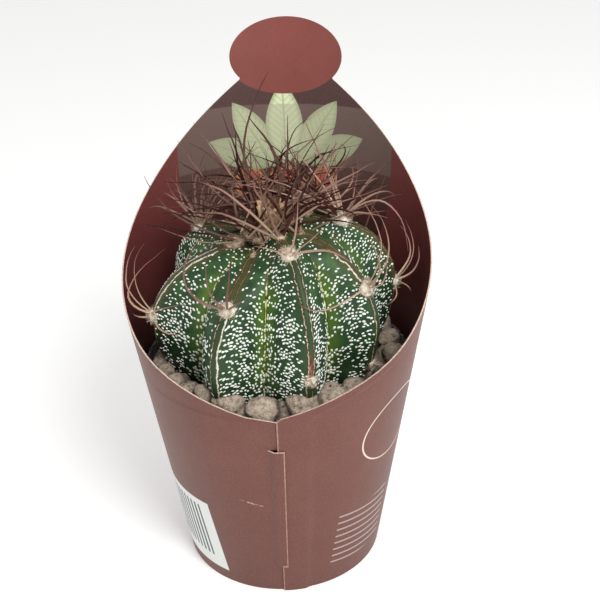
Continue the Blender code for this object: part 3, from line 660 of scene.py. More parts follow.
tree, sizes = new_geometry_tree(
    "grow_flecks",
    Spacing=0.93 * MM,
    Row_spacing=1.8 * MM,
    Fleck_radius=0.295 * MM,
    Most_per_m2=5.5e6,
    Even_crowd=1.0,
    Seed=1,
)
position = add_node(tree, "GeometryNodeInputPosition")
drift = add_node(tree, "ShaderNodeTexNoise", {"Vector": position, "Scale": 130.0, "Detail": 2.0})
patch = add_node(tree, "ShaderNodeTexNoise", {"Vector": position, "Scale": 85.0, "Detail": 2.0})
off_ridge = abs(stored(tree, "from_ridge"))
slant = stored(tree, "down") + off_ridge * 0.9 - off_ridge * off_ridge * 90.0
phase = (slant + drift * (4.0 * MM)) / sizes["Row_spacing"]
thick = rises(patch, 0.36, 0.6)
fuller = (stored(tree, "crowd") + thick * 0.4 - sizes["Even_crowd"]).maths("MAXIMUM", -0.32)
in_row = rises((phase * math.tau).maths("SINE") + fuller * 1.3, 0.35, 0.75)
bare_ridge = rises(off_ridge, 1.3 * MM, 2.6 * MM)
above_soil = {0: stored(tree, "place"), 1: SOIL_LEVEL}
spread = add_node(
    tree,
    "GeometryNodeDistributePointsOnFaces",
    {
        "Mesh": sizes["Geometry"],
        "Selection": add_node(tree, "FunctionNodeCompare", above_soil, operation="LESS_THAN"),
        "Distance Min": sizes["Spacing"],
        "Density Max": sizes["Most_per_m2"],
        "Density Factor": in_row * bare_ridge * stored(tree, "crowd") * 3.2,
        "Seed": sizes["Seed"],
    },
    distribute_method="POISSON",
)
tilt = {0: (-0.25, -0.25, -0.5), 1: (0.25, 0.25, 0.5), "Seed": 5}
tilt = add_node(tree, "FunctionNodeRandomValue", tilt, data_type="FLOAT_VECTOR")
facing = {0: Wire(spread.node.outputs["Normal"]), 1: stored(tree, "row_direction", "FLOAT_VECTOR")}
facing = add_node(tree, "FunctionNodeAxesToRotation", facing, primary_axis="Z", secondary_axis="X")
facing = add_node(tree, "FunctionNodeRotateRotation", {0: facing, 1: tilt}, rotation_space="LOCAL")
shape = {0: (1.0, 0.7, 0.35), 1: (2.3, 1.3, 0.6), "Seed": 6}
shape = add_node(tree, "FunctionNodeRandomValue", shape, data_type="FLOAT_VECTOR")
larger = {"Value": stored(tree, "place"), 1: 0.1, 2: 0.9, 3: 0.78, 4: 1.16}
larger = add_node(tree, "ShaderNodeMapRange", larger) + stored(tree, "at_foot") * 0.35
larger = larger + rises(stored(tree, "from_furrow"), 4.0 * MM, 1.5 * MM) * 0.18 + thick * 0.12
shape = {0: shape, "Scale": sizes["Fleck_radius"] * larger}
flecks = add_node(
    tree,
    "GeometryNodeInstanceOnPoints",
    {
        "Points": spread,
        "Instance": add_node(tree, "GeometryNodeMeshIcoSphere", {"Radius": 1.0, "Subdivisions": 1}),
        "Rotation": facing,
        "Scale": add_node(tree, "ShaderNodeVectorMath", shape, operation="SCALE"),
    },
)
hand_out(flecks, tuft)

fleck_field = to_object("wool_flecks", cactus.data.copy())
along = np.zeros_like(skin_points)
along[:-1] = np.diff(skin_points, axis=0)
along[-1] = along[-2]
across = np.roll(skin_points, -1, axis=1) - skin_points
across /= np.linalg.norm(across, axis=2, keepdims=True) + 1e-9
along /= np.linalg.norm(along, axis=2, keepdims=True) + 1e-9
steepness = -0.9 + 0.18 * np.abs(from_ridge) / MM
row_direction = across * np.sign(from_ridge + 1e-9)[:, :, None] + along * steepness[:, :, None]
row_direction = np.concatenate([row_direction.reshape(-1, 3), [(1, 0, 0), (1, 0, 0)]])
store(fleck_field.data, "row_direction", row_direction, "FLOAT_VECTOR")
grow(fleck_field, tree, Seed=FLECK_SEED)
settle(fleck_field, "wool_and_spines")

# Areoles: each ridge carries cushions of felted off-white wool, and from each cushion grow a few flat,
# papery spines that bend back over the plant like a goat's horns, pale at the root and brown at the tip.
# Each areole: rib, place on the ridge, wool size, how dark its spines are, from pale straw (0) to near
# black (1), and the spines. A spine is where its tip lies from the root (x, y, z) and how far its middle
# bows out of the straight line (x, y, z), in millimetres.
AREOLES = {
    "front": (FRONT, 0.20, 1.0, 0.1, (
        (10, -6, 11, 1, -2, 1),
        (19, -13, 2, 2, -4, 5),
        (-9, -8, 6, -1, -3, 2),
        (-3, -16, 4, 0, -2, 4),
        (3, -4, 20, 1, -4, 0),
    )),
    "front_left": (FRONT_LEFT, 0.48, 1.0, 0.6, (
        (-4, -10, 26, -7, -6, 0),
        (-1, -8, 24, -3, -5, 0),
        (4, -9, 22, 0, -5, 0),
        (-8, -9, 12, -2, -4, 1),
        (7, -10, 9, 1, -3, 2),
    )),
    "left": (LEFT, 0.94, 0.85, 0.05, (
        (-3, -4, 24, -5, -1, -1),
        (7, -6, 25, -9, -3, -2),
        (14, -15, 11, -3, -6, 3),
        (11, -13, 0, -1, -5, 1),
        (-6, -2, 1, -1, 0, -1),
        (-2, 4, 22, -5, 2, -1),
    )),
    "back_left": (BACK_LEFT, 0.44, 0.9, 0.3, (
        (-6, 2, 20, -3, 1, -1),
        (-10, -2, 12, -1, -1, 3),
        (2, 6, 22, -3, 3, 0),
        (-9, 7, 9, -1, 2, 3),
    )),
    "right": (RIGHT, 0.60, 1.0, 0.1, (
        (-18, -16, 3, -2, -7, -1),
        (-2, -6, 22, 5, -4, -1),
        (1, -3, 27, 6, -3, 0),
        (-4, -7, 34, 6, -6, 2),
        (6, -7, 12, 2, -3, -1),
    )),
    "far_right": (FAR_RIGHT, 1.0, 0.8, 0.05, (
        (3, -3, 22, 4, -2, -1),
        (7, -1, 12, 3, 0, -2),
        (5, -4, -2, 1, -1, 1),
        (2, 5, 16, 4, 3, -1),
        (-3, -8, -5, 2, -2, 0),
    )),
    "back_right": (BACK_RIGHT, 0.55, 0.9, 0.3, (
        (6, 6, 14, 4, 4, -1),
        (1, 7, 18, 2, 5, -1),
        (10, 2, 7, 2, 2, 2),
        (0, 8, 4, 0, 2, 2),
    )),
    "back": (BACK, 0.60, 0.9, 0.4, (
        (-5, 7, 14, -2, 5, -1),
        (3, 7, 18, 1, 5, -1),
        (-8, 5, 4, -2, 2, 2),
        (6, 7, 6, 1, 3, 2),
    )),
    "upper_right": (FAR_RIGHT, 0.25, 1.1, 0.3, (
        (20, -4, -8, 3, -1, 11),
        (16, 2, 7, 2, 1, 4),
        (12, 9, 12, 1, 2, 2),
    )),
    "front_low": (FRONT, 1.16, 0.7, 0.0, ((-1, -5, 4, 0, -1, 0), (3, -5, 1, 0, -1, 0))),
    "right_low": (RIGHT, 1.40, 0.65, 0.0, ((5, -3, 2, 0, -1, 0), (0, -5, 1, 0, -1, 0))),
}
WOOL_RADIUS = 2.511 * MM
SPINE_POINTS = 13
CHECK_POINTS = 5

wool, tree, shader = new_surface("felted_areole_wool", "E2D8C6", 0.95)
felt = ramp(speckle(tree, 1.4, 4.0, 0.6), (0.3, "9A8872"), (0.46, "DACDB8"), (0.64, "F5EEE0"))
felt.into(shader, "Base Color")
bump(shader, speckle(tree, 0.3, 3.0), 0.25)

horn, tree, shader = new_surface("papery_spine_horn", "8A5F52", 0.65, Specular_IOR_Level=0.12)
along_spine = read(tree, "along")
tone = read(tree, "tone")
pale = ramp(along_spine, (0.0, "DCC6AA"), (0.3, "C6A48C"), (0.65, "A98273"), (1.0, "744B42"))
dark = ramp(along_spine, (0.0, "4C2016"), (0.25, "380F0B"), (0.6, "2B0705"), (1.0, "190303"))
grain = rises(speckle(tree, 0.8, 3.0, 0.6, stretch=(1, 1, 2.5)), 0.3, 0.7)
grained = blended(blended(pale, dark, tone), "B98F82", grain * (0.28 - tone * 0.2))
grained.into(shader, "Base Color")

spine_tree, sizes = new_geometry_tree("grow_spines", Sides=7, Flatness=0.55, Crookedness=1.3 * MM, Seed=1)
tree = spine_tree
lines = add_node(tree, "GeometryNodeMeshToCurve", {0: sizes["Geometry"]})
position = add_node(tree, "GeometryNodeInputPosition")
kinks = {"Vector": position, "W": sizes["Seed"], "Scale": 95.0, "Detail": 1.0}
kinks = add_node(tree, "ShaderNodeTexNoise", kinks, 1, noise_dimensions="4D")
kinks = add_node(tree, "ShaderNodeVectorMath", {0: kinks, 1: (0.5, 0.5, 0.5)}, operation="SUBTRACT")
loose = stored(tree, "along") * sizes["Crookedness"] * 2.0
kinks = add_node(tree, "ShaderNodeVectorMath", {0: kinks, "Scale": loose}, operation="SCALE")
lines = add_node(tree, "GeometryNodeSetPosition", {"Geometry": lines, "Offset": kinks})
lines = add_node(tree, "GeometryNodeSetCurveTilt", {"Curve": lines, "Tilt": stored(tree, "twist")})
section = add_node(tree, "GeometryNodeCurvePrimitiveCircle", {"Resolution": sizes["Sides"], "Radius": 1.0})
flat = add_node(tree, "ShaderNodeCombineXYZ", {0: 1.0, 1: sizes["Flatness"], 2: 1.0})
section = add_node(tree, "GeometryNodeTransform", {"Geometry": section, "Scale": flat})
tube = {"Curve": lines, "Profile Curve": section, "Scale": stored(tree, "thickness"), "Fill Caps": True}
hand_out(add_node(tree, "GeometryNodeCurveToMesh", tube), horn)

wool_tree, sizes = new_geometry_tree(
    "felt_wool", Strand_length=1.45 * MM, Strand_radius=0.065 * MM, Strands_per_m2=4.6e6, Seed=1
)
tree = wool_tree
spread = {"Mesh": sizes["Geometry"], "Density": sizes["Strands_per_m2"], "Seed": sizes["Seed"]}
spread = add_node(tree, "GeometryNodeDistributePointsOnFaces", spread)
curl = {"Resolution": 5, "Start": (0, 0, -0.15), "Middle": (0.35, 0, 0.55), "End": (-0.15, 0.3, 0.8)}
curl = add_node(tree, "GeometryNodeCurveQuadraticBezier", curl)
thin = {"Value": add_node(tree, "GeometryNodeSplineParameter"), 1: 0.0, 2: 1.0, 3: 1.0, 4: 0.35}
thin = add_node(tree, "ShaderNodeMapRange", thin)
section = {"Resolution": 3, "Radius": sizes["Strand_radius"] / sizes["Strand_length"]}
section = add_node(tree, "GeometryNodeCurvePrimitiveCircle", section)
tube = {"Curve": curl, "Profile Curve": section, "Scale": thin, "Fill Caps": True}
tumble = {0: (-1.0, -1.0, -3.1), 1: (1.0, 1.0, 3.1), "Seed": 3}
tumble = add_node(tree, "FunctionNodeRandomValue", tumble, data_type="FLOAT_VECTOR")
facing = {0: Wire(spread.node.outputs["Rotation"]), 1: tumble}
varied = add_node(tree, "FunctionNodeRandomValue", {2: 0.5, 3: 1.25, "Seed": 4}, 1, data_type="FLOAT")
strands = add_node(
    tree,
    "GeometryNodeInstanceOnPoints",
    {
        "Points": spread,
        "Instance": add_node(tree, "GeometryNodeCurveToMesh", tube),
        "Rotation": add_node(tree, "FunctionNodeRotateRotation", facing, rotation_space="LOCAL"),
        "Scale": varied * sizes["Strand_length"],
    },
)
joined = add_node(tree, "GeometryNodeJoinGeometry", {0: sizes["Geometry"]})
strands.into(joined.node, 0)
hand_out(joined, wool)


def spine_path(root, tip, bow, count=SPINE_POINTS):
    """Points along a spine whose middle is pushed off the straight line by bow."""
    shares = [index / (count - 1) for index in range(count)]
    return [root.lerp(tip, share) + bow * 4 * share * (1 - share) for share in shares]


def spine_lines(name, spines):
    """An object of bare lines, one for each (path, width at the root, tone) of the list."""
    points, edges = [], []
    stores = {"along": [], "thickness": [], "tone": [], "twist": []}
    for index, (path, width, tone) in enumerate(spines):
        first = len(points)
        points += path
        edges += [(first + step, first + step + 1) for step in range(len(path) - 1)]
        for step in range(len(path)):
            share = step / (len(path) - 1)
            values = (share, width / 2 * (1 - share**2.4 * 0.86), tone, index * 1.3 + share * 0.8)
            for layer, value in zip(stores.values(), values):
                layer.append(value)
    mesh = bpy.data.meshes.new(name)
    mesh.from_pydata(points, edges, [])
    for label, values in stores.items():
        store(mesh, label, values)
    return to_object(name, mesh)


def wool_cushion(name, centre, normal, size, flatness, detail=3):
    """A lumpy flattened cushion, with its short axis along the normal."""
    bm = bmesh.new()
    bmesh.ops.create_icosphere(bm, subdivisions=detail, radius=1.0)
    facing = normal.to_track_quat("Z", "Y")
    for vert in bm.verts:
        coarse = noise.noise(vert.co * 2.3 + centre * 400)
        lump = 1 + 0.08 * coarse + 0.07 * noise.noise(vert.co * 6 + centre * 300)
        scaled = Vector((vert.co.x, vert.co.y, vert.co.z * flatness)) * size * lump
        vert.co = centre + facing @ scaled
    return to_object(name, bm)


def join_pieces(name, pieces):
    """Joins plain objects into one, under this name, with one slot for each material."""
    bm = bmesh.new()
    surfaces = []
    for piece in pieces:
        offset = len(bm.faces)
        bm.from_mesh(piece.data)
        bm.faces.ensure_lookup_table()
        surfaces += [surface for surface in piece.data.materials if surface not in surfaces]
        slots = [surfaces.index(surface) for surface in piece.data.materials]
        for face in bm.faces[offset:]:
            face.material_index = slots[face.material_index]
    for piece in pieces:
        bpy.data.objects.remove(piece)
    return to_object(name, bm, surfaces)


taken = []
for order, (name, (rib, place, scale, tone, spines)) in enumerate(AREOLES.items(), 1):
    normal = ridge_normal(rib, place)
    centre = ridge_point(rib, place) + normal * 0.6 * MM
    grown = []
    for index, spine in enumerate(spines):
        reach = Vector(spine[:3])
        ends = (centre + reach.normalized() * 0.3 * MM, centre + reach * MM, Vector(spine[3:]) * MM)
        taken += spine_path(*ends, CHECK_POINTS)
        grown.append((spine_path(*ends), (0.74 - 0.03 * index) * MM, tone + 0.08 * (index % 3)))
    spray = grow(spine_lines("spray_" + name, grown), spine_tree, Seed=order)
    cushion = wool_cushion("cushion_" + name, centre, normal, WOOL_RADIUS * scale, 0.8)
    grow(cushion, wool_tree, Seed=order)
    areole = join_pieces("areole_" + name, [cushion, spray])
    settle(areole, "wool_and_spines", "spines_" + name)

# Crown: at the growing point the youngest areoles crowd round a cap of wool, and their long dark spines
# stand in a tangle over the plant. A dried flower, tan and papery, is still stuck between them.
CROWN_WOOL_RADIUS = 6.8 * MM
YOUNG_AREOLE = 0.10
YOUNG_WOOL_RADIUS = 2.6 * MM
YOUNG_SIZES = (0.6, 1.15, 0.4, 0.5, 0.45, 0.6, 0.6, 0.6)
CROWN_SPINES = 54
CROWN_CLEARANCE = 3.6 * MM
CROWN_TOP = 147 * MM
CROWN_TILTS = (20, 36, 48, 58, 66, 72, 78, 84)
CROWN_FAN = 150
CROWN_LENGTHS = (26 * MM, 40 * MM)
FINE_SPINES = 8
FINE_BEND = 0.3
FINE_CLEARANCE = 0.5 * MM
NEST_SPINES = 26
CROSSING_SPINES = 44
OLDER_REACH = 36 * MM
# The three tallest spines: tip and bow from the crown's middle, in millimetres.
TALL_SPINES = ((1.2, 8, 45, -6.5, 0, 0), (-4.8, 7, 33, 6.5, 0, 0), (7.2, 1, 34, 2, -1, 0))
# Long straight spines that reach out of the tangle: the tip in millimetres, and the tone.
REACHING_SPINES = (
    ((32, 6, 19), 0.35),
    ((-25, 2, 21), 0.95),
    ((-29, -4, 12), 1.0),
    ((27, 9, 28), 0.55),
    ((-21, 10, 30), 0.4),
    ((-13, 9, 33), 0.9),
    ((17, 8, 30), 0.95),
    ((22, -3, 13), 1.0),
)
# The older areoles behind the crown: rib, place on it, how many thin spines, and how dark the darkest is.
OLDER_SPRAYS = (
    (BACK_LEFT, 0.42, 17, 1.0),
    (FAR_RIGHT, 0.26, 16, 0.8),
    (BACK, 0.34, 14, 1.0),
    (BACK_RIGHT, 0.34, 14, 0.95),
)

axis = (lean((0, 0, 1.0)) - lean((0, 0, 0))).normalized()
crown_centre = body_point(0.0, 0.0, 1.0, 1.0, 0.0) + axis * 0.6 * MM
side_axis = axis.cross(Vector((0, 1, 0))).normalized()
front_axis = axis.cross(side_axis).normalized()
grown = []


def dome_height(point):
    """Height of the plant's ridges under or over a point."""
    at = point - BODY_CENTRE
    lean_x, lean_y = BODY_LEAN
    reach = math.hypot(at.x - lean_x * at.z, at.y - lean_y * at.z)
    best = BODY_CENTRE.z
    for step in range(20):
        radius, height = ridge_profile(step / 20)
        if radius * 1.02 >= reach:
            best = BODY_CENTRE.z + height * 1.05
            break
    return best - lean_x * at.x - lean_y * at.y


def too_low(path, margin_mm, first=2):
    """True where a path comes too near the plant's skin, from this point of it on."""
    return any(point.z < dome_height(point) + margin_mm * MM for point in path[first:])


def sideways(angle):
    """The direction square to the crown's axis at this angle."""
    return side_axis * math.cos(angle) + front_axis * math.sin(angle)


def add_spine(root, tip, bow, width_mm, tone):
    """Adds a spine to the crown's tangle."""
    grown.append((spine_path(root, tip, bow), width_mm * MM, tone))


def add_crown_spines(count, draw, clearance, bend, widths, tones):
    """Adds spines from the young areoles, each bent its own way and clear of the plant's skin."""
    found = 0
    while found < count:
        rib = draw.randrange(len(RIBS))
        young = ridge_point(rib, YOUNG_AREOLE) + ridge_normal(rib, YOUNG_AREOLE) * 0.8 * MM
        root = crown_centre.lerp(young, draw.choice((0.35, 0.7, 1.0)))
        away = (young - crown_centre) - axis * (young - crown_centre).dot(axis)
        turn = math.radians(draw.uniform(-CROWN_FAN, CROWN_FAN))
        outward = sideways(math.atan2(away.dot(front_axis), away.dot(side_axis)) + turn)
        tilt = math.radians(draw.choice(CROWN_TILTS) + draw.uniform(-6, 6))
        length = draw.uniform(*CROWN_LENGTHS) * (1.15 - 0.3 * math.sin(tilt))
        tip = root + (axis * math.cos(tilt) + outward * math.sin(tilt)) * length
        bow = outward * draw.uniform(-2, 4) + axis * draw.uniform(-2, 6)
        bow = (bow + axis.cross(outward) * draw.uniform(-9, 9)) * bend * MM
        path = spine_path(root, tip, bow, CHECK_POINTS)
        low_in_front = tip.z < crown_centre.z + 10 * MM and tip.y < crown_centre.y - 12 * MM
        if tip.z > CROWN_TOP or low_in_front or too_low(path, 2):
            continue
        if min((a - b).length for a in taken for b in path) < clearance:
            continue
        add_spine(root, tip, bow, shades.uniform(*widths), shades.choice(tones))
        found += 1


def thrown(root, heading, rises_by, lengths_mm, sway, lift):
    """The tip and the bow of a thin spine that leaves its root on this heading."""
    rise = math.radians(draw.uniform(*rises_by))
    level = math.cos(rise)
    towards = Vector((math.sin(heading) * level, -math.cos(heading) * level, math.sin(rise)))
    tip = root + towards * draw.uniform(*lengths_mm) * MM
    bow = Vector((draw.uniform(-sway, sway), draw.uniform(-sway, sway), draw.uniform(0, lift))) * MM
    return tip, bow


for spine in TALL_SPINES:
    add_spine(crown_centre, crown_centre + Vector(spine[:3]) * MM, Vector(spine[3:]) * MM, 1.6, 0.85)
for reach, tone in REACHING_SPINES:
    add_spine(crown_centre, crown_centre + Vector(reach) * MM, Vector((0, 0, 1.5)) * MM, 1.0, tone)
shades = random.Random(5)
add_crown_spines(CROWN_SPINES, random.Random(11), CROWN_CLEARANCE, 1.0, (0.7, 0.95), (0.4, 0.85, 1.0, 1.0))
add_crown_spines(FINE_SPINES, random.Random(29), FINE_CLEARANCE, FINE_BEND, (0.55, 0.8), (0.3, 0.7, 1.0, 1.0))
# The nest: spines that start at one side of the crown's wool and lie across to another.
draw = random.Random(23)
made = 0
while made < NEST_SPINES:
    heading = draw.uniform(0, 360)
    ends = (
        (heading, draw.uniform(3, 9), draw.uniform(0.5, 3)),
        (heading + draw.choice((-1, 1)) * draw.uniform(60, 150), draw.uniform(15, 31), draw.uniform(4, 18)),
    )
    root, tip = (
        crown_centre + (sideways(math.radians(angle)) * reach + axis * rise) * MM
        for angle, reach, rise in ends
    )
    bow = axis * draw.uniform(1, 6) * MM
    in_front = tip.y < crown_centre.y - 10 * MM
    if in_front or too_low(spine_path(root, tip, bow, CHECK_POINTS), 1.5):
        continue
    add_spine(root, tip, bow, draw.uniform(0.6, 0.85), draw.choice((0.2, 0.6, 1.0, 1.0)))
    made += 1
# Thin spines that the older areoles behind the crown send out every way.
draw = random.Random(17)
for rib, place, count, darkest in OLDER_SPRAYS:
    root = ridge_point(rib, place) + ridge_normal(rib, place) * 0.6 * MM
    made = 0
    while made < count:
        tip, bow = thrown(root, math.radians(draw.uniform(0, 360)), (4, 62), (14, 33), 2, 3)
        off_middle = math.hypot(tip.x - crown_centre.x, tip.y - crown_centre.y)
        in_front = tip.y < crown_centre.y - 8 * MM
        if in_front or off_middle > OLDER_REACH or too_low(spine_path(root, tip, bow, CHECK_POINTS), 2):
            continue
        add_spine(root, tip, bow, draw.uniform(0.55, 0.9), draw.uniform(darkest - 0.75, darkest))
        made += 1
# Longer ones from the same areoles that cross over the crown.
draw = random.Random(31)
made = 0
while made < CROSSING_SPINES:
    rib, place, _, _ = draw.choice(OLDER_SPRAYS)
    root = ridge_point(rib, place) + ridge_normal(rib, place) * 0.6 * MM
    inward = crown_centre - root
    heading = math.atan2(inward.x, -inward.y) + math.radians(draw.uniform(-65, 65))
    tip, bow = thrown(root, heading, (3, 38), (22, 40), 3, 5)
    in_front = tip.y < crown_centre.y - 7 * MM
    if in_front or too_low(spine_path(root, tip, bow, CHECK_POINTS), 2, 1):
        continue
    add_spine(root, tip, bow, draw.uniform(0.6, 0.9), draw.choice((0.0, 0.5, 1.0, 1.0)))
    made += 1
tangle = grow(spine_lines("crown_tangle", grown), spine_tree, Seed=40, Crookedness=1.5 * MM)

matted, tree, shader = new_surface("matted_crown_wool", "B39C80", 0.95)
felt = ramp(speckle(tree, 1.6, 4.0, 0.65), (0.32, "5C4034"), (0.48, "AE947A"), (0.64, "E0D0B6"))
felt.into(shader, "Base Color")
bump(shader, speckle(tree, 0.3, 3.0), 0.25)
cushions = [wool_cushion("crown_cap", crown_centre, axis, CROWN_WOOL_RADIUS, 0.3, 4)]
for rib, size in enumerate(YOUNG_SIZES):
    outward = ridge_normal(rib, YOUNG_AREOLE)
    spot = ridge_point(rib, YOUNG_AREOLE) - outward * 0.4 * MM
    cushions.append(wool_cushion("young_" + str(rib), spot, outward, YOUNG_WOOL_RADIUS * size, 0.6))
for rib, place, _, _ in OLDER_SPRAYS[2:]:
    spot, outward = ridge_point(rib, place), ridge_normal(rib, place)
    cushions.append(wool_cushion("older_" + str(rib), spot, outward, YOUNG_WOOL_RADIUS * 0.75, 0.6))
for order, cushion in enumerate(cushions):
    grow(cushion, wool_tree, Seed=60 + order, Strand_length=1.3 * MM)
    cushion.data.materials[0] = matted
crown = join_pieces("crown_of_spines", cushions + [tangle])
settle(crown, "wool_and_spines", "spines_crown")

FLOWER_RADIUS = 3.3 * MM
FLOWER_HEIGHT = 7.0 * MM
FLOWER_LEVELS = 8
FLOWER_STEPS = 72


def face_rows(bm, rows):
    """Makes the faces between each row of points and the next, closed into rings."""
    for inner, outer in zip(rows, rows[1:]):
        for step in range(len(inner)):
            following = (step + 1) % len(inner)
            bm.faces.new((inner[step], outer[step], outer[following], inner[following]))


straw, tree, shader = new_surface("dried_flower_straw", "B88E5E", 0.8)
veins = speckle(tree, 0.9, 3.0, 0.6, stretch=(1, 1, 5))
ramp(veins, (0.3, "7C5C42"), (0.5, "C09A70"), (0.7, "DCC4A0")).into(shader, "Base Color")
bump(shader, veins, 0.3)
bm = bmesh.new()
foot = crown_centre + Vector((1.4, -0.5, 2.2)) * MM
rows = []
for level in range(FLOWER_LEVELS + 1):
    share = level / FLOWER_LEVELS
    rows.append([])
    for step in range(FLOWER_STEPS):
        angle = math.tau * step / FLOWER_STEPS
        pleat = 1 + 0.16 * math.cos(7 * angle + 2.2 * share) + 0.05 * math.cos(16 * angle)
        radius = FLOWER_RADIUS * pleat * (0.8 + 0.35 * share**1.5)
        ragged = 1.1 * MM * noise.noise(Vector((math.cos(angle) * 3, math.sin(angle) * 3, 0.4))) * share
        point = foot + sideways(angle) * radius + axis * (FLOWER_HEIGHT * share + ragged)
        rows[-1].append(bm.verts.new(point))
face_rows(bm, rows)
bmesh.ops.recalc_face_normals(bm, faces=bm.faces)
flower = to_object("dried_flower", bm, [straw], 60)
modified(flower, "SOLIDIFY", thickness=0.25 * MM, offset=0)
settle(flower, "wool_and_spines")

# Gravel: rounded pumice of 6 to 13 mm, dry and full of pores, laid round the plant on a bed of finer
# pieces. It keeps the plant's neck dry and holds the plant upright.
BED_TOP = 67.5 * MM
BED_MIDDLE = 8 * MM
BED_LEVELS = 13
STONE_RINGS = (
    # count, ring radius, ring height, smallest stone, largest stone, fineness of its mesh
    (21, 36.4 * MM, 71.2 * MM, 5.0 * MM, 6.6 * MM, 5),
    (17, 34.6 * MM, 68.2 * MM, 3.8 * MM, 4.8 * MM, 4),
    (36, 37.2 * MM, 72.0 * MM, 2.9 * MM, 3.9 * MM, 4),
)
STONE_CLEARANCE = 3.5 * MM
FINES = 420
# Azimuths at the left where none but the finest stones lie, so that the pot's wall shows beside the plant,
# and where the third ring's small stones take the place of the first ring's. At the right the stones are
# smaller, so that the lip shows.
BARE_ARC = (242.0, 290.0)
SMALL_ARC = (288.0, 338.0)
MIDDLING_ARC = (62.0, 112.0)
MIDDLING = 0.76
CREVICE_START = 0.95
CREVICE_REACH = 0.3

pumice, tree, shader = new_surface("dry_pumice", "B39E88", 0.95)
grain = speckle(tree, 1.3, 5.0, 0.72)
shade = ramp(grain, (0.3, "54433A"), (0.44, "9C8977"), (0.6, "CABBA8"))
shade = blended(shade, "CBB9A5", read(tree, "tone") * 0.4)
pores = {"Vector": add_node(tree, "ShaderNodeTexCoord", output=3), "Scale": 1 / (2.6 * MM), "Randomness": 1.0}
pores = rises(add_node(tree, "ShaderNodeTexVoronoi", pores), 0.22, 0.12)
pores = pores * rises(speckle(tree, 5.0, 2.0), 0.45, 0.6)
# Painted shade darkens the pores.
shade = blended(shade, "3A2B22", pores * 0.85)
# Painted shade, with a little dust, in the crevices between stones.
blended(shade, "2A1F18", read(tree, "crevice_shade") * 0.8).into(shader, "Base Color")
bump(shader, grain - pores, 0.8)

tree, sizes = new_geometry_tree("tumble_stones", Fineness=5, Lumps=0.17, Knobs=0.3, Pits=0.07, Seed=1)
ball = {"Radius": 1.0, "Subdivisions": sizes["Fineness"]}
spin = {0: (0, 0, 0), 1: (0.5, 0.5, 6.28), "Seed": sizes["Seed"]}
spin = add_node(tree, "FunctionNodeRandomValue", spin, data_type="FLOAT_VECTOR")
stones = add_node(
    tree,
    "GeometryNodeInstanceOnPoints",
    {
        "Points": sizes["Geometry"],
        "Instance": add_node(tree, "GeometryNodeMeshIcoSphere", ball),
        "Rotation": add_node(tree, "FunctionNodeEulerToRotation", {0: spin}),
        "Scale": stored(tree, "stretch", "FLOAT_VECTOR"),
    },
)
stones = add_node(tree, "GeometryNodeRealizeInstances", {0: stones})
position = add_node(tree, "GeometryNodeInputPosition")
radius = stored(tree, "radius")
own = stored(tree, "tone")
lumps = {"Vector": position, "Scale": 0.85 / radius, "W": own * 90.0, "Detail": 3.0, "Roughness": 0.45}
lumps = (add_node(tree, "ShaderNodeTexNoise", lumps, noise_dimensions="4D") - 0.5) * sizes["Lumps"] * 4.0
knobs = {"Vector": position, "Scale": 1.5 / radius, "W": own * 50.0}
knobs = add_node(tree, "ShaderNodeTexVoronoi", knobs, voronoi_dimensions="4D", feature="SMOOTH_F1")
pits = {"Vector": position, "Scale": 2.4 / radius, "W": own * 70.0}
pits = rises(add_node(tree, "ShaderNodeTexVoronoi", pits, voronoi_dimensions="4D"), 0.4, 0.12)
push = (lumps + (0.42 - knobs) * sizes["Knobs"] - pits * sizes["Pits"]) * radius
push = {0: add_node(tree, "GeometryNodeInputNormal"), "Scale": push}
push = add_node(tree, "ShaderNodeVectorMath", push, operation="SCALE")
hand_out(add_node(tree, "GeometryNodeSetPosition", {"Geometry": stones, "Offset": push}), pumice)


def stone_points(name, stones):
    """An object of bare points, one for each (centre, radius, stretch, tone)."""
    centres, radii, stretches, tones = zip(*stones)
    mesh = bpy.data.meshes.new(name)
    mesh.from_pydata(centres, [], [])
    store(mesh, "radius", radii)
    store(mesh, "tone", tones)
    stretches = [Vector(stretch) * radius for stretch, radius in zip(stretches, radii)]
    store(mesh, "stretch", stretches, "FLOAT_VECTOR")
    return to_object(name, mesh)


draw = random.Random(7)
own_way = random.Random(8)
keep_clear = [ridge_point(rib, place) for rib, place, _, _, _ in AREOLES.values()]
laid, large = [], []
for ring, (count, ring_radius, height, smallest, largest, fineness) in enumerate(STONE_RINGS):
    stones = []
    for index in range(count):
        azimuth = 360 * (index + 0.5 * ring + draw.uniform(-0.18, 0.18)) / count
        radius = draw.uniform(smallest, largest)
        in_or_out = draw.uniform(-0.8, 0.8) * MM
        centre = on_ring(azimuth, ring_radius + in_or_out, height + draw.uniform(-1, 1) * MM)
        while min((centre - spot).length for spot in keep_clear) < radius * 1.1 + STONE_CLEARANCE:
            centre.z -= 0.5 * MM
        bare, small, middling = (low < azimuth < high for low, high in (BARE_ARC, SMALL_ARC, MIDDLING_ARC))
        if middling:
            radius *= MIDDLING
        if (bare or small, bare, not small)[ring]:
            continue
        wall = pot_wall_radius(min(centre.z, LIP_BOTTOM)) - POT_WALL
        inward = min(1.0, (wall + 0.6 * MM - radius) / math.hypot(centre.x, centre.y))
        centre = Vector((centre.x * inward, centre.y * inward, centre.z))
        stretch = (own_way.uniform(0.95, 1.1), own_way.uniform(0.85, 1.0), own_way.uniform(0.78, 0.95))
        stones.append((centre, radius * 0.97, stretch, own_way.random()))
    large += [(centre, radius) for centre, radius, _, _ in stones]
    laid.append(grow(stone_points("stones_" + str(ring), stones), tree, Fineness=fineness, Seed=ring + 3))
draw = random.Random(9)
bed_radius = pot_wall_radius(BED_TOP) - POT_WALL
fines = []
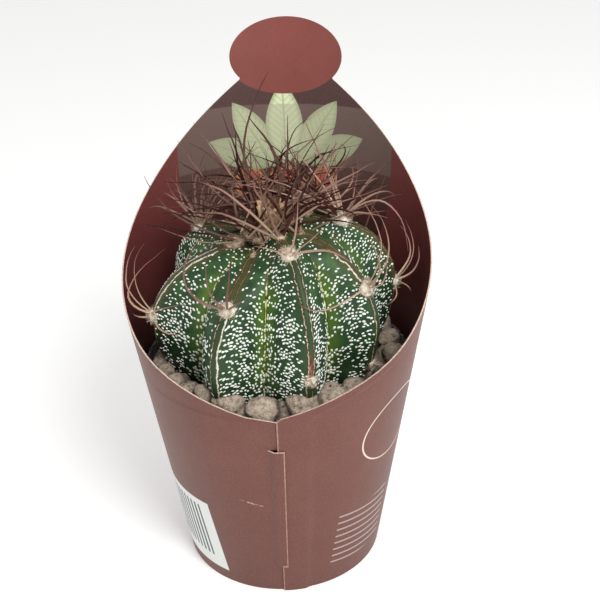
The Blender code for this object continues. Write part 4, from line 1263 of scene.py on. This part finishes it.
for _ in range(FINES):
    radius = draw.uniform(0.9, 2.1) * MM
    reach = draw.uniform(20 * MM, bed_radius - radius)
    centre = on_ring(draw.uniform(0, 360), reach, BED_TOP + draw.uniform(-0.5, 1.2) * MM)
    fines.append((centre, radius, (1.1, 0.95, 0.85), draw.random()))
laid.append(grow(stone_points("stones_fine", fines), tree, Fineness=2, Seed=9, Pits=0.0))
bm = bmesh.new()
rows = []
for level in range(BED_LEVELS + 1):
    reach = BED_MIDDLE + (bed_radius - 0.3 * MM - BED_MIDDLE) * level / BED_LEVELS
    spots = [on_ring(2 * step, reach, BED_TOP) for step in range(180)]
    for spot in spots:
        spot.z += 1.2 * MM * noise.noise(spot * 420) - 0.4 * MM
    rows.append([bm.verts.new(spot) for spot in spots])
face_rows(bm, rows)
bed = to_object("stones_bed", bm, [pumice], 60)
store(bed.data, "tone", np.zeros(len(bed.data.vertices)))
modified(bed, "SOLIDIFY", thickness=3.5 * MM, offset=-1)
# Painted shade, with a little dust, darkens the crevices, where a stone comes close to its neighbour. A large
# stone is the nearest one to its own points, so there the second nearest counts.
for order, piece in enumerate(laid + [bed]):
    points = np.empty(3 * len(piece.data.vertices), np.float32)
    piece.data.vertices.foreach_get("co", points)
    points = points.reshape(-1, 3)
    nearness = [np.linalg.norm(points - np.array(centre), axis=1) / radius for centre, radius in large]
    closest = np.sort(np.array(nearness), axis=0)[1 if order < len(STONE_RINGS) else 0]
    store(piece.data, "crevice_shade", 1 - np.clip((closest - CREVICE_START) / CREVICE_REACH, 0, 1))
gravel = join_pieces("pumice_stones", laid + [bed])
settle(gravel, "pumice", "gravel")

# Sleeve: one die-cut sheet of coated paperboard, 0.45 mm thick and printed on both sides, wrapped into a
# cone round the pot. Its two ends lock at the front, where a tab between two slits laps over.
SLEEVE_BASE_RADIUS = 32.7 * MM
SLEEVE_FLARE = 0.155
BOARD = 0.45 * MM
LAP_LIFT = 0.6 * MM
SEAM = 4.8
SEAM_TOP = 71.2 * MM
LAP_END = 11.0
LAP_RAMP_END = 16.0
LAP_FADE = 12.0 * MM
TAB_ROOT = -4.0
TAB_RAMP_END = -1.0
TAB_REACH = 2.75
UPPER_SLIT = 60.5 * MM
LOWER_SLIT = 11.5 * MM
SLIT_WIDTH = 0.4 * MM
# The cut edge up to the head: half the angle that the board spans, and the height in millimetres.
EDGE_POINTS = (
    (16.6, 144.6),
    (30.0, 135.4),
    (60.0, 115.4),
    (90.0, 99.0),
    (120.0, 85.8),
    (150.0, 78.2),
    (180.0, 71.2),
)
HEAD_CENTRE = 152.0 * MM
HEAD_HALF_HEIGHT = 12.3 * MM
HEAD_HALF_WIDTH = 19.2 * MM


def sleeve_radius(height):
    """Radius of the sleeve's cone at this height."""
    return SLEEVE_BASE_RADIUS + SLEEVE_FLARE * height


def edge_half_angle(height):
    """Half the angle that the board spans at this height, from the middle of the back panel."""
    angles, heights = (np.array(values) for values in zip(*EDGE_POINTS))
    if height > heights[0] * MM:
        rise = (height - HEAD_CENTRE) / HEAD_HALF_HEIGHT
        half_width = HEAD_HALF_WIDTH * math.sqrt(max(0.0, 1 - rise * rise))
        return math.degrees(half_width / sleeve_radius(height))
    slopes = np.gradient(heights, angles)
    fine_angles = np.linspace(angles[0], angles[-1], 200)
    place = np.clip(np.searchsorted(angles, fine_angles, side="right") - 1, 0, len(angles) - 2)
    span = angles[place + 1] - angles[place]
    t = (fine_angles - angles[place]) / span
    fine_heights = (
        (2 * t**3 - 3 * t**2 + 1) * heights[place]
        + (t**3 - 2 * t**2 + t) * span * slopes[place]
        + (3 * t**2 - 2 * t**3) * heights[place + 1]
        + (t**3 - t**2) * span * slopes[place + 1]
    )
    return float(np.interp(height / MM, fine_heights[::-1], fine_angles[::-1]))


def smooth_step(value):
    """Goes smoothly from 0 to 1 as the value does."""
    value = min(1.0, max(0.0, value))
    return value * value * (3 - 2 * value)


def lift_of_right_end(azimuth):
    """How far the sheet's right end stands off the cone, over the left end that it laps."""
    return LAP_LIFT * (1 - smooth_step((azimuth - SEAM - LAP_END) / (LAP_RAMP_END - LAP_END)))


def spaced(first, last, step):
    """Even places from first to last, both included, about one step apart."""
    count = max(1, round((last - first) / step))
    return [first + (last - first) * i / count for i in range(count + 1)]


# The azimuths of the sheet's columns, from its right end at the seam all the way round to its left end
# under the right one, and how far apart they are. The root of the tab, the seam and the tab's edge are
# places of their own.
around = [SEAM]
stops = {}
for name, end, step in (
    ("lap", LAP_END, 1.1),
    ("ramp", LAP_RAMP_END, 1.0),
    ("root", 360 + TAB_ROOT, 1.6),
    ("seam", 360, 0.5),
    ("tab", 360 + TAB_REACH, 0.55),
    ("end", 360 + LAP_END, 1.1),
):
    around += spaced(around[-1], SEAM + end, step)[1:]
    stops[name] = len(around) - 1
wrap_heights = spaced(0.0, LOWER_SLIT, 2 * MM)
wrap_heights += spaced(LOWER_SLIT + SLIT_WIDTH, UPPER_SLIT, 3 * MM)
wrap_heights += spaced(UPPER_SLIT + SLIT_WIDTH, SEAM_TOP, 2 * MM)
panel_heights = spaced(SEAM_TOP, EDGE_POINTS[0][1] * MM, 1.5 * MM)
for angle in spaced(-34, 88.5, 3.5):
    panel_heights.append(HEAD_CENTRE + HEAD_HALF_HEIGHT * math.sin(math.radians(angle)))

bm = bmesh.new()
vertices = {}
sheet_places = []


def sheet_vertex(key, azimuth, height, lift):
    """The vertex of this key, made where it is new. Its place on the flat sheet is kept in step."""
    if key not in vertices:
        vertices[key] = bm.verts.new(on_ring(azimuth, sleeve_radius(height) + lift, height))
        arc = math.radians(azimuth - 180) * sleeve_radius(height)
        sheet_places.append((arc / MM, height / MM, azimuth))
    return vertices[key]


def wrap_vertex(row, column, layer="sheet"):
    """A vertex of the wrap, under the seam's top. The tab's own layer rises over the right end."""
    azimuth = around[column]
    lift = lift_of_right_end(azimuth)
    if layer == "tab":
        start = SEAM + 360 + TAB_ROOT
        lift = 2 * LAP_LIFT * smooth_step((azimuth - start) / (TAB_RAMP_END - TAB_ROOT))
    return sheet_vertex((row, column, layer), azimuth, wrap_heights[row], lift)


def panel_vertex(index, column):
    """A vertex of the back panel, whose columns draw in towards its middle as the edge does."""
    height = panel_heights[index]
    if index == 0:
        return wrap_vertex(len(wrap_heights) - 1, column)
    offset = around[column] - 180
    share = edge_half_angle(height) / (SEAM + 180 if offset > 0 else 180 - SEAM)
    lift = lift_of_right_end(around[column]) * max(0.0, 1 - (height - SEAM_TOP) / LAP_FADE)
    return sheet_vertex(("panel", index, column), 180 + offset * share, height, lift)


def corners(row, column):
    """The rows and columns of a face's corners."""
    return (row, column), (row, column + 1), (row + 1, column + 1), (row + 1, column)


for row in range(len(wrap_heights) - 1):
    for column in range(stops["root"]):
        bm.faces.new([wrap_vertex(r, c) for r, c in corners(row, column)])
    if wrap_heights[row] in (LOWER_SLIT, UPPER_SLIT):
        continue
    in_tab = LOWER_SLIT < wrap_heights[row] < UPPER_SLIT
    for column in range(stops["root"], stops["tab"] if in_tab else stops["end"]):
        layers = ["tab" if in_tab and c > stops["root"] else "sheet" for _, c in corners(row, column)]
        bm.faces.new([wrap_vertex(r, c, layer) for (r, c), layer in zip(corners(row, column), layers)])
for index in range(len(panel_heights) - 1):
    for column in range(stops["seam"]):
        bm.faces.new([panel_vertex(i, c) for i, c in corners(index, column)])
bmesh.ops.recalc_face_normals(bm, faces=bm.faces)
outward = sum(face.normal.dot(face.calc_center_median() * Vector((1, 1, 0))) for face in bm.faces)
if outward < 0:
    bmesh.ops.reverse_faces(bm, faces=bm.faces)


# Outside of the board: mauve-brown ink under a satin varnish, with a white label near the foot at the left,
# a thin cream ring and a few fine ruled lines at the right, and small scuffs where it was handled.
# Places on the sheet are in millimetres, round from the middle of the back panel and up.
HIGHLIGHT_ANGLE = 0.5
SCUFF_PLACE = (352.0, 38.6)
RING_AZIMUTH = 64.0
LABEL_AZIMUTH = 308.0
LABEL_HEIGHT = 18.5


def sheet_axes(tree):
    """The place on the sheet: round, up, and the azimuth that the sheet has there."""
    place = add_node(tree, "ShaderNodeSeparateXYZ", {0: read(tree, "sheet_place", 1)})
    return [Wire(output) for output in place.node.outputs]


def turned(x, z, centre, tilt):
    """The place as seen from a centre, along a tilted axis and across it."""
    aside, up = x - centre[0], z - centre[1]
    cosine, sine = math.cos(math.radians(tilt)), math.sin(math.radians(tilt))
    return aside * cosine + up * sine, up * cosine - aside * sine


def oval(x, z, centre, half_width, half_height, tilt=0.0):
    """Distance from an oval's centre as a share of its rim, which is at 1."""
    lengthwise, crosswise = turned(x, z, centre, tilt)
    both = {0: lengthwise / half_width, 1: crosswise / half_height}
    both = add_node(x.tree, "ShaderNodeCombineXYZ", both)
    return add_node(x.tree, "ShaderNodeVectorMath", {0: both}, 1, operation="LENGTH")


def inside_box(x, z, centre, half_width, half_height, soft=0.15):
    """1 inside a rectangle and 0 outside it."""
    in_width = rises(abs(x - centre[0]), half_width + soft, half_width - soft)
    return in_width * rises(abs(z - centre[1]), half_height + soft, half_height - soft)


def off_middle(phase):
    """Distance from the middle of each whole step of a phase."""
    return abs(phase.maths("FRACT") - 0.5)


outside, tree, shader = new_surface("varnished_mauve_board", "6A3F35", 0.45, Specular_IOR_Level=0.35)
x, z, azimuth = sheet_axes(tree)
ink = ramp(speckle(tree, 14.0, 4.0, 0.6), (0.3, "663A30"), (0.5, "693D33"), (0.7, "6D4136"))
ink = blended(ink, "5E362D", rises(z, 62.0, 0.0) * 0.5)
fibre = speckle(tree, 0.5, 4.0, 0.6)
ink = blended(ink, "9C7468", rises(fibre, 0.35, 0.75) * 0.18)
ink = blended(ink, "4A2C27", rises(speckle(tree, 2.6, 2.0, 0.5), 0.76, 0.79) * 0.6)
scuff = rises(oval(azimuth, z, SCUFF_PLACE, 7.0, 0.35, -9.0), 1.0, 0.6)
ink = blended(ink, "B89A90", scuff * rises(speckle(tree, 0.6), 0.4, 0.6))
# Painted highlight along the seam: at the right end's cut edge, and at the tab's where that lies on top.
seam_highlight = rises(azimuth, SEAM + HIGHLIGHT_ANGLE + 0.15, SEAM + HIGHLIGHT_ANGLE - 0.15)
tab_edge = SEAM + 360 + TAB_REACH - HIGHLIGHT_ANGLE
seam_highlight = seam_highlight.maths("MAXIMUM", rises(azimuth, tab_edge - 0.15, tab_edge + 0.15))
tab_foot = LOWER_SLIT / MM + 0.8
in_tab = rises(azimuth, SEAM + 359.8, SEAM + 360.1)
seam_highlight = seam_highlight.maths("MAXIMUM", in_tab * rises(z, tab_foot + 0.15, tab_foot - 0.1))
patchiness = rises(speckle(tree, 1.5, 3.0), 0.4, 0.6) * 0.35 + 0.55
ink = blended(ink, "B48A7D", seam_highlight * patchiness)
radius_mm = z * SLEEVE_FLARE + SLEEVE_BASE_RADIUS / MM
ring_mm = (azimuth - RING_AZIMUTH) * radius_mm * math.radians(1)
ring = oval(ring_mm, z, (0.0, 56.4), 15.5, 11.4, 4.0)
ink = blended(ink, "E2D2C5", rises(abs(ring - 1.0), 0.026, 0.01))
rules = rises(off_middle((z + ring_mm * 0.1) * 0.36), 0.13, 0.09)
ink = blended(ink, "D9CBC4", rules * inside_box(ring_mm, z, (-8.0, 18.5), 11.5, 11.0) * 0.5)
label_mm = (azimuth - LABEL_AZIMUTH) * radius_mm * math.radians(1) + (z - LABEL_HEIGHT) * 0.06
ink = blended(ink, "DDE0DC", inside_box(label_mm, z, (0.0, LABEL_HEIGHT), 13.5, 14.2))
stripes = rises((label_mm * 0.5).maths("FRACT"), 0.5, 0.42)
ink = blended(ink, "4E5052", stripes * inside_box(label_mm, z, (-0.8, 19.5), 9.6, 10.6, 0.08))
ink.into(shader, "Base Color")
bump(shader, fibre, 0.06, 0.35)

# Inside of the board: maroon ink, darkened low down by painted shade, a picture panel with a lighter bar, a
# spray of plain leaves over three discs on the tall back, and a plain red-brown oval on its head.
# Each printed leaf, the lowest first: its middle, half length and half width in millimetres, its tilt, and
# its shade. Each printed disc: its middle and radius. Each fan of rays: its foot and its turn.
LEAVES = (
    ((-16.0, 121.0), 12.5, 4.8, 155, "A7B287"),
    ((16.5, 120.0), 12.5, 4.8, 24, "A7B287"),
    ((-10.0, 126.5), 13.5, 5.2, 124, "C3CF9F"),
    ((11.5, 126.0), 13.5, 5.2, 57, "C9D5A6"),
    ((1.0, 129.0), 14.5, 6.4, 88, "DDE8BA"),
)
DISCS = (((-13.0, 111.0), 4.6), ((13.5, 110.0), 5.4), ((0.5, 108.0), 7.4))
RAY_FANS = (((-24.0, 84.0), 0.2), ((25.0, 82.0), 0.6))

inside, tree, shader = new_surface("varnished_maroon_board", "5A3231", 0.45, Specular_IOR_Level=0.4)
x, z, azimuth = sheet_axes(tree)
fibre = speckle(tree, 0.5, 4.0, 0.6)
cloud = speckle(tree, 16.0, 3.0, 0.55)
# Painted shade: the maroon ink darkens from 135 mm down to 70 mm.
ink = ramp(rises(z, 70.0, 135.0), (0.0, "4A2020"), (0.5, "672F2E"), (1.0, "6E3634"))
ink = blended(ink, "823F3C", rises(cloud, 0.3, 0.75) * 0.3)
panel_edge = {"Value": z, 1: 80.0, 2: 112.0, 3: 31.0, 4: 39.5}
panel_edge = add_node(tree, "ShaderNodeMapRange", panel_edge, interpolation_type="SMOOTHSTEP")
in_panel = rises(panel_edge - abs(x), -0.25, 0.25)
picture = ramp(rises(z, 84.0, 116.0), (0.0, "2E1715"), (0.6, "432522"), (1.0, "553C36"))
bar_shade = "6C5952"
for foot, turn in RAY_FANS:
    rays = (x - foot[0]).maths("ARCTAN2", z - foot[1]) * 2.6 + turn
    rays = off_middle(rays + speckle(tree, 30.0, 1.0) * 0.6)
    out = oval(x, z, foot, 34.0, 37.0)
    rays = rises(rays / (1.03 - out), 0.1, 0.06) * rises(out, 1.0, 0.92)
    picture = blended(picture, "9A625B", rays * 0.75)
    bar_shade = blended(bar_shade, "8C6660", rays * 0.6)
bar = rises(z, 115.8, 116.2) * rises(z, 136.2, 135.8)
picture = blended(picture, "4B3230", rises(z, 135.8, 136.2))
picture = blended(picture, bar_shade, bar * 0.8)
for centre, radius in DISCS:
    out = oval(x, z, centre, radius, radius)
    disc_shade = ramp(out, (0.15, "C9504A"), (0.6, "C8623F"), (0.95, "D08A48"))
    picture = blended(picture, disc_shade, rises(out, 1.0, 0.93) * 0.85)
for centre, half_length, half_width, tilt, shade in LEAVES:
    lengthwise, crosswise = turned(x, z, centre, tilt)
    crosswise = abs(crosswise)
    share = lengthwise / half_length
    from_edge = (1.0 - share * share) * half_width - crosswise
    veins = rises(off_middle((lengthwise - crosswise * 0.9) * 0.45), 0.09, 0.04)
    veins = veins.maths("MAXIMUM", rises(crosswise, 0.4, 0.2))
    shade = blended(shade, "7E8A63", rises(from_edge, 2.2, 0.0) * 0.55)
    shade = blended(shade, "74805A", veins * 0.45)
    shade = blended(shade, "A9A88F", bar * 0.5)
    picture = blended(picture, shade, rises(from_edge, -0.1, 0.15))
ink = blended(ink, picture, in_panel)
head = oval(x, z, (0.6, HEAD_CENTRE / MM), 19.8, 12.7)
ink = blended(ink, blended("76372F", "88473F", cloud), rises(head, 1.0, 0.985))
ink = blended(ink, "9C7468", rises(fibre, 0.35, 0.75) * 0.1)
ink.into(shader, "Base Color")
bump(shader, fibre, 0.06, 0.35)

# The cut edge shows the board's own pale core.
core, tree, shader = new_surface("cut_board_core", "DCC3B2", 0.85)
ramp(speckle(tree, 0.6), (0.3, "B8978A"), (0.6, "E0C8B8")).into(shader, "Base Color")

sleeve = to_object("printed_board_sleeve", bm, [outside, inside, core])
store(sleeve.data, "sheet_place", sheet_places, "FLOAT_VECTOR")
modified(sleeve, "SOLIDIFY", thickness=BOARD, offset=-1, material_offset=1, material_offset_rim=2)
smoothed(sleeve.data, 50)
settle(sleeve, "printed_board", "paperboard_sleeve")

sizes = [[list(corner) for corner in box] for box in (cad_box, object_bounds())]
